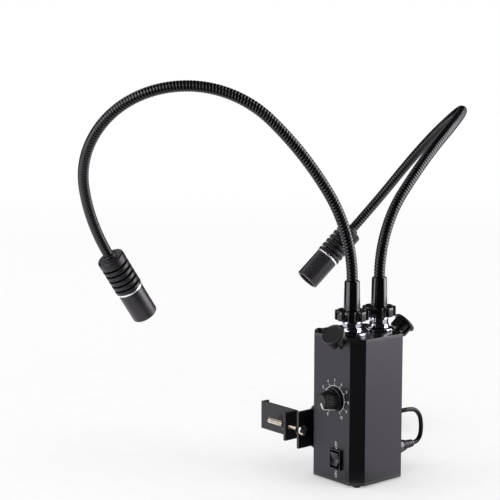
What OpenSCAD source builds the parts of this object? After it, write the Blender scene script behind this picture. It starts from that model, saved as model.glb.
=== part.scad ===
// Dual gooseneck illuminator: a clamp-on LED box with two bendable lamp arms.
// Millimetres. Origin on the bench under the centre of the housing, +Z up.
// The front panel faces -Y and the clamp reaches out on the -X side.

/* [Housing] */
// Width of the housing across its front panel
body_w = 50; // [47:1:60]
// Depth of the housing from the front panel to the rear face
body_d = 50; // [48:1:60]
// Height of the extruded housing between its two end plates
body_h = 96; // [90:1:120]
// Wall thickness of the extrusion
wall_t = 2; // [1.5:0.1:2.6]
// Thickness of the top and bottom plates
plate_t = 2; // [1.5:0.1:3]
// Flat on each vertical corner, measured along a face
corner_cut = 7.5; // [5:0.5:9]
// Thread diameter of the screws that hold the end plates
plate_screw_d = 3; // [2.5:0.5:3.5]
// Height of a plate screw's head
plate_screw_head_h = 1.4; // [1:0.1:2]

/* [Front panel] */
// Sideways place of the dimmer on the panel
dimmer_x = 3; // [-4:0.5:6]
// Height of the dimmer's axis above the housing's lower edge
dimmer_up = 55; // [48:1:62]
// Diameter of the dimmer knob at its skirt
knob_d = 16; // [14:0.5:20]
// Diameter of the dimmer knob at its front
knob_front_d = 10.4; // [8:0.2:13]
// Length of the dimmer knob
knob_l = 12.5; // [10:0.5:16]
// Diameter of the dimmer's shaft
pot_shaft_d = 6; // [5:0.5:7]
// Sideways place of the rocker switch on the panel
switch_x = 5.5; // [-4:0.5:8]
// Height of the switch's centre above the housing's lower edge
switch_up = 14; // [13:0.5:18]
// Width of the switch's bezel
bezel_w = 10.5; // [9:0.5:13]
// Height of the switch's bezel
bezel_h = 14; // [12:0.5:17]
// How far the bezel stands out of the panel
bezel_t = 2; // [1.5:0.1:2.5]

/* [Arm bases] */
// Distance of the row of arms from the housing's right side
arm_side = 20; // [19:0.5:25]
// Distance between the two arms, as a share of the housing's depth
arm_spread = 0.52; // [0.5:0.01:0.54]
// Shift of the pair of arms towards the rear, as a share of the housing's depth
arm_shift = 0.03; // [0:0.005:0.03]
// Diameter of the chrome flange
flange_d = 20.5; // [18:0.5:22]
// Diameter of the swivel stem above the flange
stem_d = 13; // [12.5:0.25:15]
// Diameter of the spigot that turns in the base
spigot_d = 10; // [9:0.5:10.5]
// Diameter over the lobes of the lock collar
collar_d = 23.2; // [21:0.2:24]
// Height of the lock collar
collar_h = 7.2; // [6:0.2:9]
// Diameter of the sleeve that holds the neck, at its foot
sleeve_d = 11.5; // [10.8:0.1:11.8]
// Height of the sleeve above the lock collar
sleeve_up = 20; // [15:0.5:26]
// Diameter of a thumb screw's head disc
thumb_d = 16; // [13:0.5:17]
// Thread diameter of a thumb screw
thumb_thread_d = 4; // [3:0.5:4.5]
// Tilt of a thumb screw above the horizontal, in degrees
thumb_tilt = 42; // [40:1:44]

/* [Necks and lamp heads] */
// Length of each gooseneck between its sleeve and its lamp head
neck_length = 372; // [320:2:420]
// Outer diameter of the gooseneck
neck_d = 7.7; // [6.6:0.1:8]
// Bore of the gooseneck
neck_bore_d = 4; // [3:0.2:4.4]
// Depth of a rib of the gooseneck
rib_depth = 0.5; // [0.3:0.05:0.8]
// Number of ribs on each neck section
ribs_per_section = 12; // [6:1:14]
// Diameter of the lamp head's fins
fin_d = 20.6; // [19:0.2:24]
// Number of cooling fins
fin_count = 5; // [3:1:6]
// Length of the finned heat sink
sink_l = 29; // [26:0.5:36]
// Diameter of the lamp barrel
barrel_d = 19.4; // [18:0.2:22]
// Length of the lamp barrel
barrel_l = 25; // [22:0.5:32]
// Wall thickness of the lamp barrel
barrel_wall = 1.4; // [1:0.1:2]

/* [Clamp] */
// Thickness of the clamp's steel plates
clamp_plate_t = 2; // [1.5:0.1:2.5]
// Height of the clamp's axis above the bench
clamp_z = 32; // [28:0.5:38]
// Height of the fixed bracket's front tab
tab_h = 26; // [22:0.5:30]
// Height of the hooked jaw
jaw_h = 20; // [16:0.5:24]
// Width of the space between the jaw's hook and the bracket
grip_w = 46.5; // [40:0.5:50]
// Distance from the bracket to the jaw's threaded leg
leg_gap = 11; // [8:0.5:14]
// Thread diameter of the clamp screw
clamp_screw_d = 4; // [3:0.5:5]
// Length of the clamp screw under its head
clamp_screw_l = 36; // [34:0.5:40]

/* [Power lead] */
// Diameter of the lead
cord_d = 3.2; // [2.6:0.1:3.4]
// Number of loops in the coil of spare lead
coil_loops = 8.2; // [6.2:1:9.2]
// Radius of the coil's innermost loop
coil_in_r = 11; // [10:0.5:13]
// Length of the power adapter's body
adapter_l = 46; // [40:1:60]
// Width of the power adapter's body
adapter_w = 40; // [36:1:48]
// Height of the power adapter's body
adapter_h = 28; // [24:1:36]
// Diameter of a mains pin
mains_pin_d = 4; // [3.8:0.1:4.8]
// Length of a mains pin
mains_pin_l = 19; // [17:0.5:20]

/* [Hidden] */
$fn = 48;

// The two arms
FRONT = 0;
REAR = 1;

// Clearances
running_gap = 0.05;
open_gap = 0.3;
cut_extra = 1;

// Heights of the housing's stack
plate_z = plate_screw_head_h;
housing_z = plate_z + plate_t;
housing_top_z = housing_z + body_h;
deck_z = housing_top_z + plate_t;
front_y = -body_d / 2;
rear_y = body_d / 2;
side_x = -body_w / 2;

// Plate screws stand in round ports at the cut corners
screw_edge = 3.2;
screw_head_d = plate_screw_d + 2.6;
screw_reach = 8;
port_r = plate_screw_d / 2 + 1.8;
screw_inset = (corner_cut + screw_edge * sqrt(2)) / 2;
screw_x = body_w / 2 - screw_inset;
screw_y = body_d / 2 - screw_inset;

// Dimmer
dimmer_z = housing_z + dimmer_up;
pot_d = 16;
pot_l = 9;
bushing_d = pot_shaft_d + 2;
bushing_l = wall_t + 5;
nut_w = bushing_d + 3.6;
nut_t = 2;
skirt_l = 1.5;
knob_stand = 0.6;
knob_bore_l = knob_l - 2.5;
nut_room_d = nut_w / cos(30) + 1;
nut_room_l = bushing_l - wall_t + open_gap;

// Rocker switch
switch_z = housing_z + switch_up;
bezel_rim = 1.1;
switch_neck_w = bezel_w - 1.4;
switch_neck_h = bezel_h - 1.4;
switch_deep = 13;
rocker_w = bezel_w - 2 * bezel_rim - 2 * open_gap;
rocker_h = bezel_h - 2 * bezel_rim - 2 * open_gap;
rocker_swing = 7;
rocker_well = 5.5;
rocker_pin_d = 2;
rocker_pivot_y = front_y - bezel_t + 3;

// Power inlet
jack_x = 5;
jack_z = housing_z + 11.6;
jack_d = 11;
jack_nose_d = 8;
jack_deep = 12;
jack_flange_t = 1.2;
plug_pin_d = 5.5;
plug_pin_l = 9.5;
plug_core_d = 2.1;
plug_body_d = 9.6;
plug_body_l = 15;
relief_d = 5;
relief_l = 8;
plug_y = rear_y + jack_flange_t + open_gap;

// Driver board
board_t = 1.6;
board_w = body_w - 2 * wall_t - 12;
board_z = housing_z + 30;
board_tall = 44;
board_y = rear_y - wall_t - 14;
spacer_d = 5;
spacer_inset = 4;

// Clamp
bracket_x = side_x - clamp_plate_t;
clamp_screw_y = front_y - 3.6;
tab_y = clamp_screw_y - 3.6;
bracket_rise = 2;
bracket_back_y = rear_y - corner_cut - 2.5;
bracket_screw_d = 3;
bracket_screw_l = clamp_plate_t + wall_t + 2.5;
bracket_screw_head_d = 5.6;
bracket_sink_l = clamp_plate_t - 0.5;
bracket_screw_ys = [front_y + 0.38 * body_d, front_y + 0.66 * body_d];
head_d = 2 * clamp_screw_d;
head_h = 0.62 * clamp_screw_d;
head_gap = 0.2;
ring_t = 1.2;
ring_seat_l = 0.4;
ring_x = bracket_x + ring_seat_l - open_gap - ring_t;
leg_x = bracket_x - leg_gap;
hook_x = bracket_x - grip_w;
jaw_front_y = front_y + 2;
jaw_leg_y = clamp_screw_y - 4.4;
hook_l = 6;
jaw_nut_d = clamp_screw_d + 4;
jaw_nut_l = 3;

// Arm bases: a flange on the deck over a bush that reaches into the housing
arm_x = body_w / 2 - arm_side;
front_room = arm_y(FRONT) - front_y;
rear_room = rear_y - arm_y(REAR);
flange_t = 2;
shoulder_h = 3;
shoulder_d = stem_d + 0.4;
bush_nut_d = 2 * (rear_room - wall_t - open_gap);
bush_nut_t = 2.4;
bush_d = bush_nut_d - 2.4;
stem_z = deck_z + flange_t + shoulder_h + open_gap;
collar_z = stem_z + 4.3;
thread_d = stem_d - 1;
thread_l = 4.2;
sleeve_z = collar_z + thread_l;
sleeve_top_z = collar_z + collar_h + sleeve_up;
sleeve_grip = 7.5;
sleeve_top_d = sleeve_d - 1.2;
sleeve_bore_d = neck_d + 2 * open_gap;
wire_d = 4;
collar_lobes = 8;
lobe_d = 5.2;

// Thumb screws slant through the housing's upper edge onto the spigots
thumb_swing = 15;
thumb_wall_drop = 3.3;
thumb_out = 11;
bush_z = thumb_aim_z(FRONT) + 1.5;
bush_l = deck_z - bush_z;
thumb_disc_t = 2.6;
thumb_knob_l = 9;
thumb_grip_d = thumb_d - 2.6;
thumb_lobes = 7;
thumb_lobe_d = 4;
thumb_tip = (spigot_d / 2 + thumb_thread_d / 2 * sin(thumb_tilt) + 0.2) / cos(thumb_tilt);

// Necks: bends and rolls of the six sections of each arm, in degrees
sections = 6;
neck_bends = [[31, 15, 45, 45, 44, 23], [45, 17, 39, 44, 37, 32]];
neck_rolls = [[233, -5, -8, -16, -8, 12], [94, 26, 30, 0, -8, 13]];
section_l = neck_length / sections;
neck_sides = 8;
neck_r = neck_d / 2;
neck_bore_r = neck_bore_d / 2;
socket_gap = 0.6;
socket_r = neck_r + socket_gap;
head_grip = 6;

// Lamp heads, measured forward from the end of the neck
cap_l = 6;
sink_boss_d = 11;
sink_boss_l = 2.5;
sink_core_d = 13;
fin_gap = 2;
sink_nose_d = barrel_d - 2 * barrel_wall - 2 * running_gap;
sink_nose_l = 5;
ring_l = 1.6;
trim_d = barrel_d + 0.8;
led_d = 14;
led_t = 1.6;
led_dome_d = 5;
lens_t = 6;
lens_set = 1.2;

// Power lead: hand-laid route from the plug to the coil, then the tail to the adapter
coil_step = cord_d + 0.55;
coil_at = [-51, 55];
coil_low_z = cord_d / 2 + 0.1;
coil_start_a = 270;
coil_rings = 24;
coil_sides = 6;
coil_out_r = coil_in_r + coil_step * coil_loops / 2;
coil_end_a = coil_start_a - 360 * coil_loops;
coil_end_dir = [sin(coil_end_a), -cos(coil_end_a), 0];
cord_sides = 8;
coil_first = [coil_at[0] + cord_d, coil_at[1] - coil_out_r, coil_low_z];
plug_end = [jack_x, plug_y + plug_body_l + relief_l, jack_z];
lead_route = [
  plug_end, plug_end + [0, 1.6, 0], [5, 54.9, 16], [5, 57.6, 18.8], [5, 58.6, 22.6], [5, 58.6, 28],
  [5, 57, 34], [5, 52.6, 38.4], [5, 46.6, 40], [4.6, 41, 40.2], [2.5, 35, 39.6], [-2.5, 30.6, 37.6],
  [-9, 28.7, 33.8], [-16, 28.5, 28], [-23, 28.5, 20.5], [-29.5, 28.5, 12.8], [-35.5, 28.5, 6.6],
  [-41, 28.5, 3], coil_first + [cord_d, 0, 0], coil_first
];
adapter_entry_z = 8;
coil_last = coil_point(coil_loops) + cord_d * coil_end_dir;
tail_l = 19;
tail_flat = coil_last + tail_l * coil_end_dir;
tail_end = [tail_flat[0], tail_flat[1], adapter_entry_z];
tail_route = [
  coil_last, coil_last + 5 * coil_end_dir, coil_last + 11 * coil_end_dir + [0, 0, 1.6],
  tail_end - 3 * coil_end_dir, tail_end
];
adapter_relief_d = 7;
adapter_relief_l = 8;
adapter_a = atan2(coil_end_dir[1], coil_end_dir[0]);
adapter_edge = 4;
mains_pin_space = 19;
mains_pin_z = adapter_h / 2;
pin_root_l = 5;

// Chamfered square outline shared by the housing and its plates
module cut_square(w, d, cut) {
  x = w / 2;
  y = d / 2;
  polygon([
    [-x + cut, -y], [x - cut, -y], [x, -y + cut], [x, y - cut],
    [x - cut, y], [-x + cut, y], [-x, y - cut], [-x, -y + cut]
  ]);
}

module at_corners() {
  for (sx = [-1, 1], sy = [-1, 1]) translate([sx * screw_x, sy * screw_y, 0]) children();
}

function arm_y(arm) = body_d * (arm_shift + (arm == FRONT ? -1 : 1) * arm_spread / 2);

// Depth from an arm's axis to the panel that its thumb screw comes out of
function arm_room(arm) = arm == FRONT ? front_room : rear_room;
// Where a thumb screw's axis meets the stem's, so that it leaves the panel just under its top edge
function thumb_aim_z(arm) =
  housing_top_z - thumb_wall_drop - arm_room(arm) * tan(thumb_tilt) / cos(thumb_swing);
// Length of a thumb screw from there to its end disc
function thumb_reach(arm) = (arm_room(arm) + thumb_out) / cos(thumb_tilt);

module at_arm(arm) { translate([arm_x, arm_y(arm), 0]) children(); }

// Turns +Z onto a thumb screw's axis, with the origin on the stem's axis
module at_thumb(arm) {
  at_arm(arm)
    translate([0, 0, thumb_aim_z(arm)])
      rotate([0, 0, arm == FRONT ? -90 + thumb_swing : 90 - thumb_swing])
        rotate([0, 90 - thumb_tilt, 0])
          children();
}

// Steps over the first sections of a neck, from the sleeve's mouth
module along_neck(arm, count, done = 0) {
  if (done == count) {
    children();
  } else {
    bend = neck_bends[arm][done];
    rotate([0, 0, neck_rolls[arm][done]])
      translate(arc_point(section_l, bend))
        rotate([0, bend, 0])
          along_neck(arm, count, done + 1) children();
  }
}

module at_neck(arm, count) {
  at_arm(arm) translate([0, 0, sleeve_top_z]) along_neck(arm, count) children();
}

// A neck section's centreline: an arc in XZ that runs on straight past both ends
function arc_radius(bend) = section_l / (bend * PI / 180);
function arc_turn(s, bend) = bend * min(max(s / section_l, 0), 1);
function arc_point(s, bend) =
  let (turn = arc_turn(s, bend), r = arc_radius(bend), over = s < 0 ? s : max(s - section_l, 0))
    [r * (1 - cos(turn)) + over * sin(turn), 0, r * sin(turn) + over * cos(turn)];

function ring_points(s, r, bend) =
  let (turn = arc_turn(s, bend), mid = arc_point(s, bend))
    [for (k = [0:neck_sides - 1])
      let (a = 360 * (k + 0.5) / neck_sides)
        mid + [r * cos(a) * cos(turn), r * sin(a), -r * cos(a) * sin(turn)]];

// Side faces between the rings of a tube; a looped list of rings closes on itself
function band_faces(rings, sides, looped) =
  [for (j = [0:rings - (looped ? 1 : 2)], k = [0:sides - 1])
    let (
      k2 = (k + 1) % sides,
      j2 = (j + 1) % rings,
      a = j * sides + k,
      b = j * sides + k2,
      c = j2 * sides + k2,
      d = j2 * sides + k
    )
      each [[a, d, c], [a, c, b]]];

function cap_faces(rings, sides) =
  [for (k = [1:sides - 2])
    each [[0, k, k + 1], [(rings - 1) * sides, (rings - 1) * sides + k + 1, (rings - 1) * sides + k]]];

// Half-section of a neck section as [along, radius] pairs, round through its bore.
// Each section has a domed start that sits in the cupped end of the one before.
function neck_profile(index) =
  let (
    first = index == 0,
    last = index == sections - 1,
    start = first ? -sleeve_grip : 0,
    cup_rim = sqrt(socket_r * socket_r - neck_r * neck_r),
    end = last ? section_l + head_grip : section_l - cup_rim,
    rib_end = last ? section_l : end,
    step = rib_end / ribs_per_section,
    mid_r = (neck_r + neck_bore_r) / 2,
    ribs = [for (j = [0:ribs_per_section - 1])
      each [[(j + 0.5) * step, neck_r - rib_depth], [(j + 1) * step, neck_r]]],
    lead_in = first ? [[start, neck_r], [0, neck_r]] : [[0, neck_r]],
    end_face = last
      ? [[end, neck_r], [end, neck_bore_r]]
      : [[section_l - sqrt(socket_r * socket_r - mid_r * mid_r), mid_r],
         [section_l - sqrt(socket_r * socket_r - neck_bore_r * neck_bore_r), neck_bore_r]],
    bore = [for (q = [3:-1:1]) [section_l * q / 4, neck_bore_r]],
    start_face = first
      ? [[start, neck_bore_r]]
      : [[-sqrt(neck_r * neck_r - neck_bore_r * neck_bore_r), neck_bore_r],
         [-sqrt(neck_r * neck_r - mid_r * mid_r), mid_r]]
  )
    concat(lead_in, ribs, end_face, bore, start_face);

module neck_section(arm, index) {
  bend = neck_bends[arm][index];
  profile = neck_profile(index);
  points = [for (p = profile) each ring_points(p[0], p[1], bend)];
  color("#141315")
    at_neck(arm, index)
      rotate([0, 0, neck_rolls[arm][index]])
        polyhedron(points, band_faces(len(profile), neck_sides, true), convexity = 10);
}

// A round tube swept along points, with frames that don't twist
function unit(v) = v / norm(v);
function tangents(path) =
  let (last = len(path) - 1)
    [for (i = [0:last]) unit(path[min(i + 1, last)] - path[max(i - 1, 0)])];
function side_of(v, t) = unit(v - (v * t) * t);
function sweep_points(path, d, sides) =
  let (
    ts = tangents(path),
    last = len(path) - 1,
    first_side = side_of(abs(ts[0][2]) < 0.9 ? [0, 0, 1] : [1, 0, 0], ts[0]),
    sides_list = [for (i = 0, n = first_side; i <= last; i = i + 1, n = side_of(n, ts[min(i, last)])) n]
  )
    [for (i = [0:last], k = [0:sides - 1])
      let (a = 360 * (k + 0.5) / sides)
        path[i] + d / 2 * (cos(a) * sides_list[i] + sin(a) * cross(ts[i], sides_list[i]))];

module tube(path, d, sides) {
  faces = concat(band_faces(len(path), sides, false), cap_faces(len(path), sides));
  polyhedron(sweep_points(path, d, sides), faces, convexity = 10);
}

// Coil of spare lead: spirals in on the bench, climbs where it reverses, spirals out on top
function coil_radius(u) = coil_in_r + coil_step * abs(u - coil_loops / 2);
function coil_height(u) =
  coil_low_z + coil_step * min(max((u - coil_loops / 2) / 0.5 + 0.5, 0), 1);
function coil_point(u) =
  let (a = coil_start_a - 360 * u)
    [coil_at[0] + coil_radius(u) * cos(a), coil_at[1] + coil_radius(u) * sin(a), coil_height(u)];
coil_count = ceil(coil_loops * coil_rings);
coil_turns = [for (i = [0:coil_count]) coil_point(coil_loops * i / coil_count)];
coil_path = concat([coil_first], coil_turns, [coil_last]);
coil_gap = min([for (i = [0:coil_count], j = [i + coil_rings / 2:1:coil_count])
  norm(coil_turns[i] - coil_turns[j])]) - cord_d;
echo("least gap between loops of the coil", coil_gap);
function path_length(p) = len(p) < 2 ? 0 : [for (i = [1:len(p) - 1]) norm(p[i] - p[i - 1])]
  * [for (i = [1:len(p) - 1]) 1];
echo("length of the lead", path_length(lead_route) + path_length(coil_path) + path_length(tail_route));

module housing() {
  color("#3a393d")
    difference() {
      translate([0, 0, housing_z]) linear_extrude(body_h) cut_square(body_w, body_d, corner_cut);
      difference() {
        translate([0, 0, housing_z - cut_extra])
          linear_extrude(body_h + 2 * cut_extra)
            cut_square(body_w - 2 * wall_t, body_d - 2 * wall_t, corner_cut - wall_t * (2 - sqrt(2)));
        at_corners()
          translate([0, 0, housing_z - 2 * cut_extra])
            cylinder(r = port_r, h = body_h + 4 * cut_extra);
      }
      at_corners()
        translate([0, 0, housing_z - cut_extra])
          cylinder(d = plate_screw_d + 2 * running_gap, h = body_h + 2 * cut_extra);
      translate([dimmer_x, front_y - cut_extra, dimmer_z])
        rotate([-90, 0, 0])
          cylinder(d = bushing_d + 2 * running_gap, h = wall_t + 2 * cut_extra);
      at_switch()
        middle_box(
          switch_neck_w + 2 * open_gap, -cut_extra, wall_t + cut_extra, switch_neck_h + 2 * open_gap
        );
      translate([jack_x, rear_y - wall_t - cut_extra, jack_z])
        rotate([-90, 0, 0])
          cylinder(d = jack_nose_d + 2 * running_gap, h = wall_t + 2 * cut_extra);
      for (y = bracket_screw_ys)
        translate([side_x - cut_extra, y, clamp_z])
          rotate([0, 90, 0])
            cylinder(d = bracket_screw_d + 2 * running_gap, h = wall_t + 2 * cut_extra);
      for (arm = [FRONT, REAR])
        at_thumb(arm)
          translate([0, 0, thumb_tip])
            cylinder(d = thumb_thread_d + 2 * running_gap, h = thumb_reach(arm));
    }
}

module end_plate(z) {
  difference() {
    translate([0, 0, z]) linear_extrude(plate_t) cut_square(body_w, body_d, corner_cut);
    at_corners()
      translate([0, 0, z - cut_extra])
        cylinder(d = plate_screw_d + 2 * running_gap, h = plate_t + 2 * cut_extra);
  }
}

module top_plate() {
  color("#2c2b2e")
    difference() {
      end_plate(housing_top_z);
      for (arm = [FRONT, REAR])
        at_arm(arm)
          translate([0, 0, housing_top_z - cut_extra])
            cylinder(d = bush_d + 2 * running_gap, h = plate_t + 2 * cut_extra);
    }
}

module bottom_plate() { color("#2c2b2e") end_plate(plate_z); }

module plate_screws() {
  color("#1c1c1e") {
    at_corners()
      translate([0, 0, deck_z - plate_t - screw_reach]) {
        cylinder(d = plate_screw_d, h = plate_t + screw_reach);
        translate([0, 0, plate_t + screw_reach]) screw_dome();
      }
    at_corners() {
      cylinder(d = screw_head_d, h = plate_screw_head_h);
      translate([0, 0, plate_screw_head_h]) cylinder(d = plate_screw_d, h = plate_t + screw_reach);
    }
  }
}

// Low domed head, a slice of a ball
module screw_dome() {
  rise = plate_screw_head_h + 0.6;
  ball_r = (screw_head_d * screw_head_d / 4 + rise * rise) / (2 * rise);
  intersection() {
    cylinder(d = screw_head_d, h = rise + cut_extra);
    translate([0, 0, rise - ball_r]) sphere(r = ball_r);
  }
}

module driver_board() {
  color("#1f6b3c")
    translate([-board_w / 2, board_y - board_t, board_z])
      cube([board_w, board_t, board_tall]);
}

// Inductor, capacitor, driver chip with its heat spreader, and terminal block
module board_parts() {
  face_y = board_y - board_t;
  color("#8a5a2b") on_board(-8, 12, face_y) cylinder(d = 11, h = 6);
  color("#3b3f8c") on_board(8, 10, face_y) cylinder(d = 8, h = 10);
  color("#202020") translate([-6, face_y - 4, board_z + 22]) cube([12, 4, 9]);
  color("#3c8c3c")
    translate([-board_w / 2 + 5, face_y - 8, board_z + board_tall - 10])
      cube([board_w - 10, 8, 8]);
}

module on_board(x, up, y) { translate([x, y, board_z + up]) rotate([90, 0, 0]) children(); }

module board_spacers() {
  color("#c9b26b")
    for (sx = [-1, 1], up = [spacer_inset, board_tall - spacer_inset])
      translate([sx * (board_w / 2 - spacer_inset), board_y, board_z + up])
        rotate([-90, 0, 0])
          cylinder(d = spacer_d, h = rear_y - wall_t - board_y);
}

// Turns +Z to point out of the front panel
module at_dimmer() { translate([dimmer_x, front_y, dimmer_z]) rotate([90, 0, 0]) children(); }

module dimmer_pot() {
  color("#8f8f94")
    at_dimmer()
      difference() {
        union() {
          translate([0, 0, -wall_t - pot_l]) cylinder(d = pot_d, h = pot_l);
          translate([0, 0, -wall_t]) cylinder(d = bushing_d, h = bushing_l);
        }
        translate([0, 0, -wall_t - pot_l + 2])
          cylinder(d = pot_shaft_d + 2 * running_gap, h = pot_l + bushing_l);
      }
}

module dimmer_nut() {
  color("#b9b9bd")
    at_dimmer()
      difference() {
        cylinder(d = nut_w / cos(30), h = nut_t, $fn = 6);
        translate([0, 0, -cut_extra]) cylinder(d = bushing_d + 2 * running_gap, h = nut_t + 2 * cut_extra);
      }
}

module dimmer_shaft() {
  color("#c4c4c8")
    at_dimmer()
      translate([0, 0, -wall_t - pot_l + 2 + open_gap])
        cylinder(d = pot_shaft_d, h = wall_t + pot_l - 2 - open_gap + knob_stand + knob_bore_l - open_gap);
}

module dimmer_knob() {
  color("#1d1b1e")
    at_dimmer()
      translate([0, 0, knob_stand])
        difference() {
          union() {
            cylinder(d = knob_d, h = skirt_l);
            translate([0, 0, skirt_l]) cylinder(d1 = knob_d - 0.8, d2 = knob_front_d, h = knob_l - skirt_l);
          }
          translate([0, 0, -cut_extra])
            cylinder(d = pot_shaft_d + 2 * running_gap, h = knob_bore_l + cut_extra);
          translate([0, 0, -cut_extra])
            cylinder(d = nut_room_d, h = nut_room_l - knob_stand + cut_extra);
        }
}

// The switch is drawn with +X across the panel, +Y into it and +Z up
module at_switch() { translate([switch_x, front_y, switch_z]) children(); }

module middle_box(w, y0, y1, h) { translate([-w / 2, y0, -h / 2]) cube([w, y1 - y0, h]); }

module switch_body() {
  color("#161517")
    at_switch()
      difference() {
        union() {
          middle_box(bezel_w, -bezel_t, 0, bezel_h);
          middle_box(switch_neck_w, 0, switch_deep, switch_neck_h);
        }
        middle_box(rocker_w + 2 * open_gap, -bezel_t - cut_extra, rocker_well, rocker_h + 2 * open_gap);
        translate([0, rocker_pivot_y - front_y, 0])
          rotate([0, 90, 0])
            cylinder(d = rocker_pin_d + 2 * running_gap, h = switch_neck_w - 0.8, center = true);
      }
}

// Rocker with two sloped faces, drawn with its upper end pressed in
module switch_rocker() {
  half = rocker_h / 2;
  top_y = -bezel_t - 1.2;
  color("#1b1a1c")
    at_switch()
      translate([0, rocker_pivot_y - front_y, 0])
        rotate([-rocker_swing, 0, 0])
          translate([0, front_y - rocker_pivot_y, 0])
            union() {
              rotate([90, 0, 90])
                linear_extrude(rocker_w, center = true)
                  polygon([
                    [top_y, -half + 0.6], [-bezel_t + 0.6, 0], [top_y, half - 0.6],
                    [0.6, half - 0.8], [2.8, 0.35 * half], [2.8, -0.35 * half], [0.6, -half + 0.8]
                  ]);
              translate([0, rocker_pivot_y - front_y, 0])
                rotate([0, 90, 0])
                  cylinder(d = rocker_pin_d, h = switch_neck_w - 0.8 - 2 * open_gap, center = true);
            }
}

// Turns +Z to point out of the rear face
module at_jack() { translate([jack_x, rear_y, jack_z]) rotate([-90, 0, 0]) children(); }

module dc_jack() {
  color("#18181a")
    at_jack()
      difference() {
        union() {
          translate([0, 0, -wall_t - jack_deep]) cylinder(d = jack_d, h = jack_deep);
          translate([0, 0, -wall_t]) cylinder(d = jack_nose_d, h = wall_t);
          cylinder(d = jack_d, h = jack_flange_t);
        }
        translate([0, 0, jack_flange_t - plug_pin_l - 2])
          cylinder(d = plug_pin_d + 2 * running_gap, h = plug_pin_l + 2 + cut_extra);
      }
}

module dc_plug() {
  color("#151416")
    at_jack()
      translate([0, 0, plug_y - rear_y])
        difference() {
          union() {
            translate([0, 0, -plug_pin_l]) cylinder(d = plug_pin_d, h = plug_pin_l);
            cylinder(d = plug_body_d, h = plug_body_l);
            translate([0, 0, plug_body_l]) cylinder(d1 = relief_d + 1, d2 = relief_d, h = relief_l);
          }
          translate([0, 0, -plug_pin_l - cut_extra]) cylinder(d = plug_core_d, h = plug_pin_l);
        }
}

module cord_lead() { color("#121113") tube(lead_route, cord_d, cord_sides); }

module cord_coil() { color("#121113") tube(coil_path, cord_d, coil_sides); }

module cord_tail() { color("#121113") tube(tail_route, cord_d, cord_sides); }

// Drawn with +X along the adapter, from its lead to its pins, on the bench
module at_adapter() {
  translate([tail_end[0], tail_end[1], 0])
    rotate([0, 0, adapter_a])
      translate([adapter_relief_l, 0, 0])
        children();
}

module power_adapter() {
  color("#1a191b")
    at_adapter()
      union() {
        rotate([90, 0, 90])
          linear_extrude(adapter_l)
            translate([0, adapter_h / 2])
              cut_square(adapter_w, adapter_h, adapter_edge);
        translate([-adapter_relief_l, 0, adapter_entry_z])
          rotate([0, 90, 0])
            cylinder(d = adapter_relief_d, h = adapter_relief_l);
      }
}

module adapter_pins() {
  color("#c8c8cc")
    at_adapter()
      for (s = [-1, 1])
        translate([adapter_l, s * mains_pin_space / 2, mains_pin_z])
          rotate([0, 90, 0])
            cylinder(d = mains_pin_d, h = mains_pin_l);
}

module clamp_bracket() {
  low = clamp_z - tab_h / 2;
  high = clamp_z + tab_h / 2;
  wide_y = front_y + corner_cut;
  color("#1a1a1c")
    difference() {
      translate([bracket_x, 0, 0])
        rotate([90, 0, 90])
          linear_extrude(clamp_plate_t)
            polygon([
              [tab_y, low], [wide_y - bracket_rise, low], [wide_y, low - bracket_rise],
              [bracket_back_y, low - bracket_rise], [bracket_back_y, high + bracket_rise],
              [wide_y, high + bracket_rise], [wide_y - bracket_rise, high], [tab_y, high]
            ]);
      along_clamp(bracket_x - cut_extra, clamp_screw_d + 2 * running_gap, clamp_plate_t + 2 * cut_extra);
      along_clamp(bracket_x - cut_extra, head_d + 2 * open_gap, ring_seat_l + cut_extra);
      for (y = bracket_screw_ys)
        translate([bracket_x, y, clamp_z])
          rotate([0, 90, 0]) {
            translate([0, 0, -cut_extra])
              cylinder(d = bracket_screw_d + 2 * running_gap, h = clamp_plate_t + 2 * cut_extra);
            cylinder(
              d1 = bracket_screw_head_d + 2 * running_gap, d2 = bracket_screw_d + 2 * running_gap,
              h = bracket_sink_l
            );
          }
    }
}

module along_clamp(x, d, l) {
  translate([x, clamp_screw_y, clamp_z]) rotate([0, 90, 0]) cylinder(d = d, h = l);
}

module bracket_screws() {
  color("#26262a")
    for (y = bracket_screw_ys)
      translate([bracket_x, y, clamp_z])
        rotate([0, 90, 0]) {
          cylinder(d1 = bracket_screw_head_d, d2 = bracket_screw_d, h = bracket_sink_l);
          translate([0, 0, bracket_sink_l])
            cylinder(d = bracket_screw_d, h = bracket_screw_l - bracket_sink_l);
        }
}

module clamp_screw() {
  head_x = side_x + head_gap;
  slot_w = 1;
  color("#b9b2a6")
    difference() {
      union() {
        along_clamp(head_x - clamp_screw_l, clamp_screw_d, clamp_screw_l);
        along_clamp(head_x, head_d, head_h);
      }
      translate([head_x + head_h - 1.2, clamp_screw_y - head_d, clamp_z - slot_w / 2])
        cube([1.2 + cut_extra, 2 * head_d, slot_w]);
    }
}

module clamp_ring() {
  color("#8d8d92")
    difference() {
      along_clamp(ring_x, head_d, ring_t);
      along_clamp(ring_x - cut_extra, clamp_screw_d + 2 * running_gap, ring_t + 2 * cut_extra);
    }
}

module clamp_jaw() {
  t = clamp_plate_t;
  color("#1e1e20")
    difference() {
      translate([0, 0, clamp_z - jaw_h / 2])
        linear_extrude(jaw_h)
          polygon([
            [leg_x, jaw_leg_y], [leg_x, jaw_front_y + t],
            [hook_x, jaw_front_y + t], [hook_x, jaw_front_y + hook_l],
            [hook_x - t, jaw_front_y + hook_l], [hook_x - t, jaw_front_y],
            [leg_x - t, jaw_front_y], [leg_x - t, jaw_leg_y]
          ]);
      along_clamp(leg_x - t - cut_extra, clamp_screw_d + 2 * running_gap, t + 2 * cut_extra);
    }
}

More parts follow.
